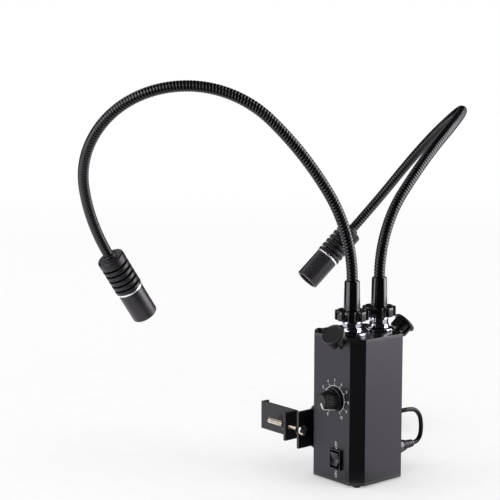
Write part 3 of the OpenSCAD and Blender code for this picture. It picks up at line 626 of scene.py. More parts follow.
def dress(node: str, finish: Finish, edge_mm: float = 0.0) -> None:
    """Finishes a CAD node that keeps its own shape.

    Args:
        node: Name of the CAD node.
        finish: Its finish.
        edge_mm: Width of the rounding on its edges, or 0 to leave them.
    """
    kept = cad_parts[node]
    kept.data.materials.clear()
    kept.data.materials.append(finish.material())
    if edge_mm:
        weld = kept.modifiers.new("weld", "WELD")
        weld.merge_threshold = 1e-6
        flat = kept.modifiers.new("flat", "DECIMATE")
        flat.decimate_type, flat.angle_limit = "DISSOLVE", math.radians(0.5)
        edge = kept.modifiers.new("edge", "BEVEL")
        edge.width, edge.segments = edge_mm * MM, 3
        edge.limit_method, edge.angle_limit = "ANGLE", math.radians(32)
        edge.harden_normals = True
        edge.use_clamp_overlap = True
    LOG.info("node %s: %s", node, finish.name)


def turn_about(axis: str, degrees: float) -> Matrix:
    """A turn about one axis."""
    return Matrix.Rotation(math.radians(degrees), 4, axis)


def shift(x: float, y: float, z: float) -> Matrix:
    """A move in millimetres."""
    return Matrix.Translation((x, y, z))


def lettering(text: str, size: float, depth: float) -> Shape:
    """Cuts letters as flat raised shapes centred on the origin, in XY.

    Args:
        text: What they say.
        size: Size of the type in millimetres.
        depth: How far they stand up on each side of the plane.

    Returns:
        The letters.
    """
    curve = bpy.data.curves.new("letters", "FONT")
    curve.body, curve.size, curve.extrude = text, size * MM, depth * MM
    curve.align_x, curve.align_y, curve.resolution_u = "CENTER", "CENTER", 4
    holder = linked("letters", curve)
    made = Shape.finished(holder)
    bpy.data.objects.remove(holder)
    middle = [(min(v[i] for v in made.verts) + max(v[i] for v in made.verts)) / 2 for i in (0, 1)]
    return made.placed(shift(-middle[0], -middle[1], 0))


# ---------------------------------------------------------------- studio


@dataclass
class Studio:
    """Camera, white surroundings, soft lamps, and the dark tent with lit boards and sheets that
    reflections see.
    """

    camera_at: tuple[float, float, float] = (641.8, -634.7, 276.9)
    camera_yaw: float = 140.04
    camera_pitch: float = -7.56
    focal_px: float = 1337.0
    frame_px: float = 500.0
    floor_half: float = 6000.0
    floor_thick: float = 20.0
    tent_r: float = 1600.0
    board_r: float = 1000.0
    board_top: float = 900.0
    left_board: tuple[float, float] = (-134.0, -80.0)
    right_board: tuple[float, float] = (29.0, 83.0)
    left_sheet: tuple[float, float] = (-178.0, -98.0)
    right_sheet: tuple[float, float] = (5.0, 78.0)
    back_sheet: tuple[float, float] = (92.0, 178.0)
    high_board: tuple[float, float] = (150.0, 225.0)
    high_foot: float = 650.0
    high_top: float = 1250.0
    lamp_aim: tuple[float, float, float] = (0, 0, 120)

    def camera(self) -> None:
        """Sets the camera where the photograph was taken from."""
        data = bpy.data.cameras.new("camera")
        data.sensor_width = 36.0
        data.lens = self.focal_px * data.sensor_width / self.frame_px
        data.clip_start, data.clip_end = 0.01, 100.0
        made = linked("camera", data)
        yaw, pitch = math.radians(self.camera_yaw), math.radians(self.camera_pitch)
        ahead = Vector((math.cos(yaw) * math.cos(pitch), math.sin(yaw) * math.cos(pitch), math.sin(pitch)))
        made.location = Vector(self.camera_at) * MM
        aim(made, ahead)
        bpy.context.scene.camera = made
        bpy.context.scene.view_settings.view_transform = "Standard"

    def _seen(self, tree: bpy.types.NodeTree) -> bpy.types.NodeSocket:
        """One for rays from the camera, mirrors and glass, and zero for the light that falls on the object."""
        path = add_node(tree, "LightPath")
        total = path.outputs["Is Camera Ray"]
        for name in ("Is Glossy Ray", "Is Transmission Ray"):
            total = add_node(tree, "Math", {0: total, 1: path.outputs[name]}, operation="MAXIMUM").outputs[0]
        return total

    def surroundings(self) -> None:
        """Makes the white world, the pale floor, and the tent, boards and sheets that reflections see."""
        world = bpy.data.worlds.new("studio")
        bpy.context.scene.world = world
        tree = emptied(world)
        strength = add_node(tree, "MapRange", {"Value": self._seen(tree), "To Min": 0.8, "To Max": 1.0})
        light = add_node(tree, "Background", {"Color": (1, 1, 1, 1), "Strength": strength.outputs[0]})
        add_node(tree, "OutputWorld", {"Surface": light.outputs[0]})

        h = self.floor_half
        floor = linked("floor", Shape.block((-h, -h, -self.floor_thick), (h, h, 0)).mesh("floor"))
        floor.data.materials.append(self._floor_finish())
        quarter = [k * math.pi / 16 for k in range(9)]
        tent = [(40.0, 0.4)] + [(self.tent_r * math.cos(a), self.tent_r * math.sin(a)) for a in quarter]
        sheet = [(36.0, 0.6), (self.board_r - 60, 0.6)]
        for name, profile, sweep, glow in (
                ("dark_tent", tent, (-180.0, 180.0), 0.02),
                ("left_board", self._upright(1.0, self.board_top), self.left_board, 4.0),
                ("right_board", self._upright(1.0, self.high_top), self.right_board, 7.0),
                ("left_sheet", sheet, self.left_sheet, 1.25),
                ("right_sheet", sheet, self.right_sheet, 1.35),
                ("back_sheet", sheet, self.back_sheet, 1.2),
                ("high_board", self._upright(self.high_foot, self.high_top), self.high_board, 1.2)):
            self._mirrored(name, profile, sweep, glow)

    def _upright(self, foot: float, top: float) -> Profile:
        """Profile of a board that stands round the object."""
        return [(self.board_r, foot), (self.board_r, top)]

    def _floor_finish(self) -> bpy.types.Material:
        """Pale seamless paper that keeps the object's shadow.

        Returns:
            The material.
        """
        made = bpy.data.materials.new("white_seamless_paper")
        tree = emptied(made)
        grain = add_node(tree, "TexNoise", {"Scale": 900.0})
        tint = add_node(tree, "MapRange", {
            "Value": grain.outputs["Fac"], "To Min": 0.5, "To Max": 0.54})
        paper = add_node(tree, "BsdfDiffuse", {"Color": tint.outputs[0]})
        place = add_node(tree, "TexCoord")
        away = add_node(tree, "VectorMath", {0: place.outputs["Object"]}, operation="LENGTH")
        level = add_node(tree, "MapRange", {
            "Value": away.outputs["Value"], "From Min": 0.4, "From Max": 2.6, "To Min": 0.4, "To Max": 0.6})
        glow = add_node(tree, "Math", {0: self._seen(tree), 1: level.outputs[0]}, operation="MULTIPLY")
        lit = add_node(tree, "Emission", {"Strength": glow.outputs[0]})
        both = add_node(tree, "AddShader", {0: paper.outputs[0], 1: lit.outputs[0]})
        add_node(tree, "OutputMaterial", {"Surface": both.outputs[0]})
        return made

    def _mirrored(self, name: str, profile: Profile, sweep: tuple[float, float], glow: float) -> None:
        """Stands a cloth round the object that only reflections see.

        Args:
            name: Name of the cloth.
            profile: Its radius and height, from its foot up.
            sweep: Where it starts and ends round the object, in degrees.
            glow: How bright it is.
        """
        steps, n = 48, len(profile)
        verts, faces = [], []
        for k in range(steps + 1):
            a = math.radians(sweep[0] + (sweep[1] - sweep[0]) * k / steps)
            verts += [Vector((r * math.cos(a), r * math.sin(a), max(z, 0.4))) for r, z in profile]
            if k:
                faces += [(n * k - n + i, n * k + i, n * k + i + 1, n * k - n + i + 1) for i in range(n - 1)]
        made = linked(name, Shape(verts, faces).unmapped().mesh(name))
        cloth = bpy.data.materials.new(name + "_cloth")
        tree = emptied(cloth)
        weave = add_node(tree, "TexNoise", {"Scale": 400.0})
        level = add_node(tree, "MapRange", {
            "Value": weave.outputs["Fac"], "To Min": 0.9 * glow, "To Max": 1.1 * glow})
        light = add_node(tree, "Emission", {"Color": linear("#fef9ff"), "Strength": level.outputs[0]})
        add_node(tree, "OutputMaterial", {"Surface": light.outputs[0]})
        made.data.materials.append(cloth)
        made.visible_camera = made.visible_diffuse = made.visible_shadow = False
        made.visible_transmission = made.visible_volume_scatter = False

    def lamps(self) -> None:
        """Hangs three large soft lamps: left of the camera, right of it, and overhead."""
        for name, place, size, watts in (
                ("left_softbox", (-900, -1100, 800), 1000, 4.0),
                ("right_softbox", (1150, 700, 850), 900, 5.0),
                ("top_softbox", (-100, 50, 1500), 1400, 5.0)):
            data = bpy.data.lights.new(name, "AREA")
            data.shape, data.size, data.energy = "SQUARE", size * MM, watts
            made = linked(name, data)
            made.visible_glossy = False
            made.location = Vector(place) * MM
            aim(made, Vector(self.lamp_aim) - Vector(place))


# ---------------------------------------------------------------- power lead


@dataclass(frozen=True)
class Ribs:
    """Moulded ribs of a strain relief; the tapers are the change of radius from rib to rib."""

    count: int
    start: float
    pitch: float
    valley_r: float
    valley_taper: float
    crest_r: float
    crest_taper: float
    valley_l: float
    crest_at: float
    crest_end: float

    def profile(self) -> list[tuple[float, float]]:
        """Lists the profile of all the ribs.

        Returns:
            Radius and height of each point, from the first rib up.
        """
        made = []
        for k in range(self.count):
            z = self.start + self.pitch * k
            valley, crest = self.valley_r + self.valley_taper * k, self.crest_r + self.crest_taper * k
            made += [(valley, z), (valley, z + self.valley_l), (crest, z + self.crest_at), (crest, z + self.crest_end)]
        return made


PLUG_GRIP = Ribs(4, 11.6, 0.85, 3.55, -0.1, 4.35, -0.2, 0.3, 0.4, 0.8)
PLUG_RELIEF = Ribs(4, 15.1, 1.9, 2.1, 0.0, 3.05, -0.12, 0.75, 0.9, 1.8)
ADAPTER_RELIEF = Ribs(5, 0.7, 1.4, 2.1, 0.12, 2.7, 0.16, 0.5, 0.6, 1.3)


@dataclass
class PowerLead:
    """DC plug, lead with its spare length coiled and tied, and the plug-top adapter."""

    lead_d: float = 3.2
    route: tuple = (
        (5, 49.5, 15), (5, 51.1, 15), (5, 54.9, 16), (5, 57.6, 18.8), (5, 58.6, 22.6), (5, 58.6, 28), (5, 57, 34),
        (5, 52.6, 38.4), (5, 46.6, 40), (4.6, 41, 40.2), (2.5, 35, 39.6), (-2.5, 30.6, 37.6), (-9, 28.7, 33.8),
        (-16, 28.5, 28), (-23, 28.5, 20.5), (-29.5, 28.5, 12.8), (-35.5, 28.5, 6.6), (-41, 28.5, 3))
    coil_at: tuple = (-51.0, 55.0)
    coil_in_r: float = 11.0
    coil_step: float = 3.75
    coil_loops: float = 8.2
    coil_low_z: float = 1.7
    coil_start: float = 270.0
    tail_l: float = 19.0
    entry_z: float = 8.0
    plug_y: float = 26.5
    jack: tuple = (5.0, 25.0, 15.0)
    adapter_l: float = 46.0
    adapter_w: float = 40.0
    adapter_h: float = 28.0
    relief_l: float = 8.0
    grip_ribs: int = 6
    rib_pitch: float = 3.2
    rib_x: tuple = (12, 13.4)
    rib_z: tuple = (8.5, 20)
    rib_sunk: float = 0.15
    pin_space: float = 19.0
    tie_angle: float = 240.0

    def coil_point(self, u: float) -> Vector:
        """Centre of the lead after u loops of the coil."""
        a = math.radians(self.coil_start - 360 * u)
        r = self.coil_in_r + self.coil_step * abs(u - self.coil_loops / 2)
        climb = min(max((u - self.coil_loops / 2) / 0.5 + 0.5, 0), 1)
        return Vector((
            self.coil_at[0] + r * math.cos(a), self.coil_at[1] + r * math.sin(a),
            self.coil_low_z + self.coil_step * climb))

    @property
    def tail_way(self) -> Vector:
        """Direction in which the lead leaves the coil."""
        a = math.radians(self.coil_start - 360 * self.coil_loops)
        return Vector((math.sin(a), -math.cos(a), 0))

    @property
    def tail_end(self) -> Vector:
        """Where the lead enters the adapter."""
        end = self.coil_point(self.coil_loops) + (self.lead_d + self.tail_l) * self.tail_way
        return Vector((end.x, end.y, self.entry_z))

    def centreline(self) -> list[Vector]:
        """Works out the lead's centreline from the plug to the adapter.

        Returns:
            Points close together along one smooth curve.
        """
        first = self.coil_point(0) + Vector((self.lead_d, 0, 0))
        last = self.coil_point(self.coil_loops) + self.lead_d * self.tail_way
        lead = smooth_path([Vector(p) for p in self.route] + [first + Vector((self.lead_d, 0, 0)), first], 6)
        turns = round(self.coil_loops * 40)
        coil = [self.coil_point(self.coil_loops * k / turns) for k in range(turns + 1)]
        tail = smooth_path([
            last, last + 5 * self.tail_way, last + 11 * self.tail_way + Vector((0, 0, 1.6)),
            self.tail_end - 3 * self.tail_way, self.tail_end], 6)
        return lead + coil + tail

    def lead(self, ends: Sequence[bpy.types.Object]) -> None:
        """Args:
            ends: The pieces at its far end; not used.
        """
        line = self.centreline()
        curve = bpy.data.curves.new("power_lead", "CURVE")
        curve.dimensions, curve.bevel_depth, curve.bevel_resolution = "3D", self.lead_d / 2 * MM, 4
        curve.use_fill_caps = True
        spline = curve.splines.new("POLY")
        spline.points.add(len(line) - 1)
        for point, place in zip(spline.points, line):
            point.co = (*(place * MM), 1.0)
        spline.use_smooth = True
        made = linked("power_lead", curve)
        adopt(made, LEAD_PVC, "base", ("cord_lead", "cord_coil", "cord_tail"))

    def plug(self) -> None:
        """Makes the DC plug with its ribbed strain relief."""
        profile = [(0, -9.4), (2.5, -9.4), (2.75, -9.1), (2.75, 0), (4.2, 0), (4.8, 0.7), (4.8, 10.5), (4.5, 11.2)]
        profile += [*PLUG_GRIP.profile(), (3.0, 15.0), *PLUG_RELIEF.profile()]
        profile += [(2.3, 22.8), (1.7, 23.0), (0, 23.0)]
        place = shift(self.jack[0], self.plug_y, self.jack[2]) @ turn_about("X", -90)
        made = Shape.turned(softened(profile, 0.14, 2), 48).placed(place)
        made.piece("dc_plug_body", PLUG_PVC, "base", ("dc_plug",))

    def tie(self) -> None:
        """Wraps a hook-and-loop strap round the coil."""
        inner, outer, top, half, thick = 9.0, 28.0, 7.15, 4.5, 0.45
        rim = [(inner, 0.0), (outer, 0.0), (outer + thick, 0.6), (outer + thick, top), (outer, top + thick),
               (inner, top + thick), (inner - thick, top), (inner - thick, 0.6)]
        core = [(inner + 0.1, 0.08), (outer - 0.1, 0.08), (outer, 0.7), (outer, top - 0.1), (outer - 0.2, top),
                (inner + 0.2, top), (inner, top - 0.1), (inner, 0.7)]
        made, count = Shape(), len(rim)
        for loop, side in ((rim, -half), (rim, half), (core, half), (core, -half)):
            made.verts += [Vector((r, side, z)) for r, z in loop]
        for row in range(4):
            for j in range(count):
                a, b = row * count, (row + 1) % 4 * count
                k = (j + 1) % count
                made.faces.append((a + j, b + j, b + k, a + k))
        tab = Shape.block((13.0, -half, top + thick - 0.1), (24.0, half, top + thick + 0.5))
        place = shift(*self.coil_at, 0) @ turn_about("Z", self.tie_angle)
        made.unmapped().joined(tab).placed(place).piece("coil_tie", TIE_NYLON, "base")

    def adapter(self) -> list[bpy.types.Object]:
        """Makes the adapter's case, its strain relief and its pins.

        Returns:
            The pieces at the far end of the lead.
        """
        heading = math.degrees(math.atan2(self.tail_way.y, self.tail_way.x))
        place = shift(self.tail_end.x, self.tail_end.y, 0) @ turn_about("Z", heading) @ shift(self.relief_l, 0, 0)
        rings = []
        for x, inset in ((0.0, 2.6), (0.4, 1.3), (1.2, 0.5), (2.6, 0.1), (5.0, 0.0), (self.adapter_l - 4.0, 0.0),
                         (self.adapter_l - 3.6, 0.35), (self.adapter_l - 3.0, 0.35), (self.adapter_l - 2.6, 0.0),
                         (self.adapter_l - 0.8, 0.0), (self.adapter_l - 0.2, 0.35), (self.adapter_l, 1.1)):
            rings.append(self._case_ring(x, inset))
        case = Shape.lofted(rings)
        for side in (-1, 1):
            y = side * (self.adapter_w / 2 - self.rib_sunk)
            for k in range(self.grip_ribs):
                x0, x1 = (edge + self.rib_pitch * k for edge in self.rib_x)
                low, high = self.rib_z
                rib = [Vector((x, y, z)) for x, z in ((x0, low), (x1, low), (x1, high), (x0, high))]
                raised = [p + Vector((0.35 * (1 if n in (0, 3) else -1), side * 0.14, 0.4 * (1 if n < 2 else -1)))
                          for n, p in enumerate(rib)]
                case = case.joined(Shape.lofted([rib, raised] if side < 0 else [rib[::-1], raised[::-1]]))
        relief = [(0, 0), (2.4, 0), (2.5, 0.3), *ADAPTER_RELIEF.profile(), (3.5, 7.9), (0, 7.9)]
        entry = place @ shift(-self.relief_l, 0, self.entry_z) @ turn_about("Y", 90)
        case = case.placed(place)
        body = case.piece("adapter_case", ADAPTER_ABS, "base", ("power_adapter",), 40)
        boot = Shape.turned(softened(relief, 0.14, 2), 40).placed(entry).piece("adapter_relief", PLUG_PVC, "base")
        pins = Shape()
        for side in (-1, 1):
            pin = softened([(0, 0), (2.0, 0), (2.0, 17.2), (1.3, 19.0), (0, 19.0)], 0.7, 4)
            at = place @ shift(self.adapter_l, side * self.pin_space / 2, self.adapter_h / 2) @ turn_about("Y", 90)
            pins = pins.joined(Shape.turned(pin, 40).placed(at))
        pins.piece("mains_pins", PIN_NICKEL, "base", ("adapter_pins",))
        return [body, boot]

    def _case_ring(self, x: float, inset: float) -> list[Vector]:
        """One rounded section of the adapter's case.

        Args:
            x: Place along the case.
            inset: How far the section shrinks from its full size.

        Returns:
            Points round the section, with the parting line as a notch on both sides.
        """
        w, h, r = self.adapter_w / 2 - inset, self.adapter_h / 2 - inset, 4.6
        ring = []
        for turn, (cy, cz) in enumerate(((w - r, h - r), (-w + r, h - r), (-w + r, -h + r), (w - r, -h + r))):
            for k in range(7):
                a = math.radians(90 * turn + 15 * k)
                ring.append(Vector((x, cy + r * math.cos(a), self.adapter_h / 2 + cz + r * math.sin(a))))
            if turn in (1, 3):
                s = -1 if turn == 1 else 1
                notch = [(w, 0.35), (w - 0.3, 0.1), (w - 0.3, -0.1), (w, -0.35)]
                ring += [Vector((x, s * y, self.adapter_h / 2 + s * z)) for y, z in notch]
        return ring

    def build(self) -> None:
        """Makes every piece of the power lead."""
        ends = self.adapter()
        self.lead(ends)
        self.plug()
        self.tie()
        dress("dc_jack", SWITCH_NYLON, 0.25)


def smooth_path(points: Sequence[Vector], steps: int) -> list[Vector]:
    """Runs a smooth curve through points.

    Args:
        points: Places that the curve passes.
        steps: Number of parts between two of them.

    Returns:
        Points along the curve, without the last one repeated.
    """
    padded = [points[0] * 2 - points[1], *points, points[-1] * 2 - points[-2]]
    made = []
    for a, b, c, d in zip(padded, padded[1:], padded[2:], padded[3:]):
        for k in range(steps):
            t = k / steps
            made.append(0.5 * (
                2 * b + (c - a) * t + (2 * a - 5 * b + 4 * c - d) * t ** 2 + (3 * b - a - 3 * c + d) * t ** 3))
    return made + [points[-1].copy()]


# ---------------------------------------------------------------- housing and panel


@dataclass
class Housing:
    """Extruded case, its end plates and screws, and what sits inside."""

    screw_out: float = 18.987
    edge: float = 0.35

    def screws(self) -> None:
        """Makes the plate screws: domed ones above with a cross recess, flat ones below as feet."""
        dome = softened([
            (0, -8), (1.5, -8), (1.5, 0), (2.75, 0), (2.8, 0.35), (2.35, 1.25), (1.3, 1.85), (0, 2.0)], 0.3)
        cuts = [Shape.block((-1.45, -0.32, 0.7), (1.45, 0.32, 3)), Shape.block((-0.32, -1.45, 0.7), (0.32, 1.45, 3))]
        upper = Shape.turned(dome, 48).carved(*cuts)
        flat = softened([(0, 10), (1.5, 10), (1.5, 1.4), (2.8, 1.4), (2.8, 0.0), (0, 0.0)][::-1], 0.3)
        slot = Shape.block((-3, -0.4, -1), (3, 0.4, 0.7))
        lower = Shape.turned(flat, 48).carved(slot)
        made = Shape()
        for sx in (-1, 1):
            for sy in (-1, 1):
                turn = turn_about("Z", 25 * sx + 10 * sy)
                made = made.joined(
                    upper.placed(shift(sx * self.screw_out, sy * self.screw_out, DECK_Z) @ turn),
                    lower.placed(shift(sx * self.screw_out, sy * self.screw_out, 0) @ turn))
        made.piece("plate_screw_set", BLACK_OXIDE, "base", ("plate_screws",))

    def build(self) -> None:
        """Makes and dresses every piece of the housing."""
        for node, finish in (
                ("housing", HOUSING_SKIN), ("top_plate", PLATE_ENAMEL), ("bottom_plate", PLATE_ENAMEL)):
            dress(node, finish, self.edge)
        self.screws()
        for node, finish in (
                ("driver_board", BOARD_MASK), ("board_parts", BOARD_PARTS), ("board_spacers", BRASS),
                ("arm_base_nuts", ZINC)):
            dress(node, finish)


@dataclass
class FrontPanel:
    """Dial with its print and knob, and the rocker switch."""

    dial: tuple = (3.0, 58.4)
    arc_r: float = 9.4
    tick_r: float = 11.2
    number_r: float = 13.2
    line_w: float = 0.32
    ink: float = 0.03
    number_size: float = 2.9
    label_size: float = 3.0
    switch: tuple = (5.5, 17.4)
    pivot_y: float = -24.0
    rest_tilt: float = -7.0
    pointer_angle: float = 150.0
    dial_start: float = -150.0
    dial_step: float = 30.0
    label_x: float = 4.9
    off_z: float = 27.0
    on_z: float = 6.6

    def stroke(self, points: Sequence[tuple[float, float]], width: float) -> Shape:
        """Draws a line of ink in XY.

        Args:
            points: Places along its middle.
            width: Width of the line.

        Returns:
            The line.
        """
        rings = []
        for i, at in enumerate(points):
            way = Vector(points[min(i + 1, len(points) - 1)]) - Vector(points[max(i - 1, 0)])
            side = Vector((-way.y, way.x)).normalized() * width / 2
            left, right = Vector(at) + side, Vector(at) - side
            rings.append([Vector((edge.x, edge.y, up * self.ink))
                          for edge, up in ((right, -1), (left, -1), (left, 1), (right, 1))])
        return Shape.lofted(rings)

    def around(self, r: float, degrees: float) -> tuple[float, float]:
        """Place on the dial, clockwise from the top as seen from the front."""
        return r * math.sin(math.radians(degrees)), r * math.cos(math.radians(degrees))

    def print_dial(self) -> None:
        """Prints the dial's arc, ticks and numbers, and the switch's two words."""
        on_panel = shift(self.dial[0], FRONT_Y, self.dial[1]) @ turn_about("X", 90)
        marks = self.stroke([self.around(self.arc_r, self.dial_start + 5 * k) for k in range(61)], self.line_w)
        for n in range(11):
            a = self.dial_start + self.dial_step * n
            marks = marks.joined(self.stroke([self.around(self.arc_r, a), self.around(self.tick_r, a)], self.line_w))
            marks = marks.joined(lettering(str(n), self.number_size, self.ink).placed(
                shift(*self.around(self.number_r, a), 0)))
        marks = marks.placed(on_panel)
        for word, up in (("OFF", self.off_z), ("ON", self.on_z)):
            marks = marks.joined(lettering(word, self.label_size, self.ink).placed(
                shift(self.label_x, FRONT_Y, up) @ turn_about("X", 90) @ turn_about("Z", 90)))
        marks.piece("panel_print", PANEL_INK, "base")

    def knob(self) -> None:
        """Makes the fluted dimmer knob with its white pointer."""
        place = shift(self.dial[0], FRONT_Y, self.dial[1]) @ turn_about("X", 90) @ shift(0, 0, 0.6)
        flute = lobes(1.0, 0.17, 20, 0.93, 0.05)
        profile = softened([
            (6.9, 0.0), (7.8, 0.0), (8.0, 0.25), (8.0, 1.25), (7.75, 1.5), (7.5, 1.6, 4.0), (7.2, 2.4, 6.5),
            (5.4, 11.6, 6.0), (5.15, 12.2, 2.0), (4.85, 12.5), (4.3, 12.5), (4.1, 12.35), (0, 12.35)], 0.2)
        shell = [(0, 10.0), (3.05, 10.0), (3.05, 4.7), (6.9, 4.7)]
        made = Shape.turned(shell + profile, 240, flute)
        made.placed(place).piece("dimmer_knob_fluted", KNOB_ABS, "dimmer", ("dimmer_knob",))
        across = turn_about("Z", 90 - self.pointer_angle)
        face = Shape.block((0.8, -0.6, 12.25), (4.75, 0.6, 12.53))
        flank = Shape.lofted([
            [Vector(p) for p in ((r + 0.16, -w, z), (r + 0.16, w, z), (r - 0.7, w, z), (r - 0.7, -w, z))]
            for r, z, w in ((7.32, 2.2, 0.3), (5.42, 11.5, 0.35), (5.05, 12.3, 0.6))])
        face.joined(flank).placed(place @ across).piece("dimmer_pointer", PANEL_INK, "dimmer")

    def rocker(self) -> None:
        """Makes the rocker: two hollowed faces that meet in a valley, drawn with its upper end pressed in."""
        half_w, half_h, steps = 3.85, 5.0, 24
        rows = []
        for k in range(steps + 1):
            z = -half_h + 0.6 + (2 * half_h - 1.2) * k / steps
            out = 1.4 + 1.8 * (abs(z) / (half_h - 0.6)) ** 1.25
            rows.append((z, out))
        section = [(-out, z) for z, out in rows]
        section += [(0.6, half_h - 0.8), (2.8, 0.35 * half_h), (2.8, -0.35 * half_h), (0.6, -half_h + 0.8)]
        rings = []
        for x, inset in ((-half_w, 0.35), (-half_w + 0.12, 0.12), (-half_w + 0.4, 0.0), (half_w - 0.4, 0.0),
                         (half_w - 0.12, 0.12), (half_w, 0.35)):
            rings.append([Vector((x, y + inset if y < 0 else y, z * (1 - inset / half_h))) for y, z in section])
        tilt = shift(0, self.pivot_y, 0) @ turn_about("X", self.rest_tilt) @ shift(0, -self.pivot_y, 0)
        place = shift(self.switch[0], 0, self.switch[1]) @ tilt @ shift(0, FRONT_Y, 0)
        made = Shape.lofted(rings[::-1]).placed(place)
        made.piece("switch_rocker_cap", SWITCH_NYLON, "rocker", ("switch_rocker",), 40)

    def build(self) -> None:
        """Makes and dresses every piece of the panel."""
        self.print_dial()
        self.knob()
        self.rocker()
        dress("switch_body", SWITCH_NYLON, 0.3)
        dress("dimmer_pot", ZINC)
        dress("dimmer_nut", ZINC, 0.2)
        dress("dimmer_shaft", ZINC)


# ---------------------------------------------------------------- clamp


@dataclass
class PostClamp:
    """Bracket and hooked jaw drawn together by a screw."""

    axis_y: float = -28.6
    axis_z: float = 32.0
    thread_r: float = 2.0
    thread_pitch: float = 0.7
    tip_x: float = -60.8
    head_x: float = -24.8

    def thread(self, start: float, length: float) -> Shape:
        """Winds a screw thread along +Z.

        Args:
            start: Where it starts.
            length: How long it is.

        Returns:
            The thread, capped at both ends.
        """
        sides, depths = 24, (0.24, 0.0, 0.0, 0.0, 0.24)
        per_turn = len(depths)
        rows = math.floor((length / self.thread_pitch - 1) * per_turn)
        made = Shape()
        for i in range(rows + 1):
            for j in range(sides):
                z = (i / per_turn + j / sides) * self.thread_pitch
                r = self.thread_r - depths[i % per_turn] - 0.55 * (1 - min(z / 0.9, 1.0))
                a = math.tau * j / sides
                made.verts.append(Vector((r * math.cos(a), r * math.sin(a), start + z)))
        for i in range(rows):
            for j in range(sides - 1):
                at = i * sides + j
                made.faces.append((at, at + 1, at + sides + 1, at + sides))
            if i < rows - per_turn:
                last, first = (i + 1) * sides - 1, (i + per_turn) * sides
                made.faces.append((last, first, first + sides, last + sides))
        foot = [*range(sides), *(i * sides for i in range(per_turn, 0, -1))]
        top = [rows * sides + j for j in range(sides)] + [(rows - i + 1) * sides - 1 for i in range(1, per_turn + 1)]
        for loop, z in ((foot[::-1], start), (top, start + rows / per_turn * self.thread_pitch)):
            made.verts.append(Vector((0, 0, z)))
            made.faces += [(len(made.verts) - 1, at, loop[(n + 1) % len(loop)]) for n, at in enumerate(loop)]
        return made.unmapped()

    def screw(self) -> None:
        """Makes the clamp screw with its rounded slotted head and threaded shank."""
        length = self.head_x - self.tip_x
        core = Shape.turned([(0, 0.05), (1.3, 0.05), (1.62, 0.5), (1.62, length), (0, length)], 32)
        head = softened([(0, length - 0.5), (2.0, length - 0.5), (2.0, length), (3.9, length), (4.0, length + 0.4),
                         (3.7, length + 1.4), (2.6, length + 2.2), (0, length + 2.48)], 0.35)
        slot = Shape.block((-5, -0.5, length + 1.28), (5, 0.5, length + 4))
        cap = Shape.turned(head, 64).carved(slot)
        place = shift(self.tip_x, self.axis_y, self.axis_z) @ turn_about("Y", 90) @ turn_about("Z", 90)
        made = core.joined(self.thread(0.0, length - 0.6), cap)
        made.placed(place).piece("clamp_screw_threaded", SCREW_NICKEL, "clamp_screw_body", ("clamp_screw",), 40)

    def build(self) -> None:
        """Makes and dresses every piece of the clamp."""
        self.screw()
        dress("clamp_bracket", CLAMP_COAT, 0.3)
        dress("clamp_jaw", CLAMP_COAT, 0.3)
        dress("bracket_screws", BLACK_OXIDE)
        dress("clamp_ring", BLACK_ZINC, 0.2)
        dress("jaw_nut", BLACK_ZINC, 0.3)


# ---------------------------------------------------------------- arms


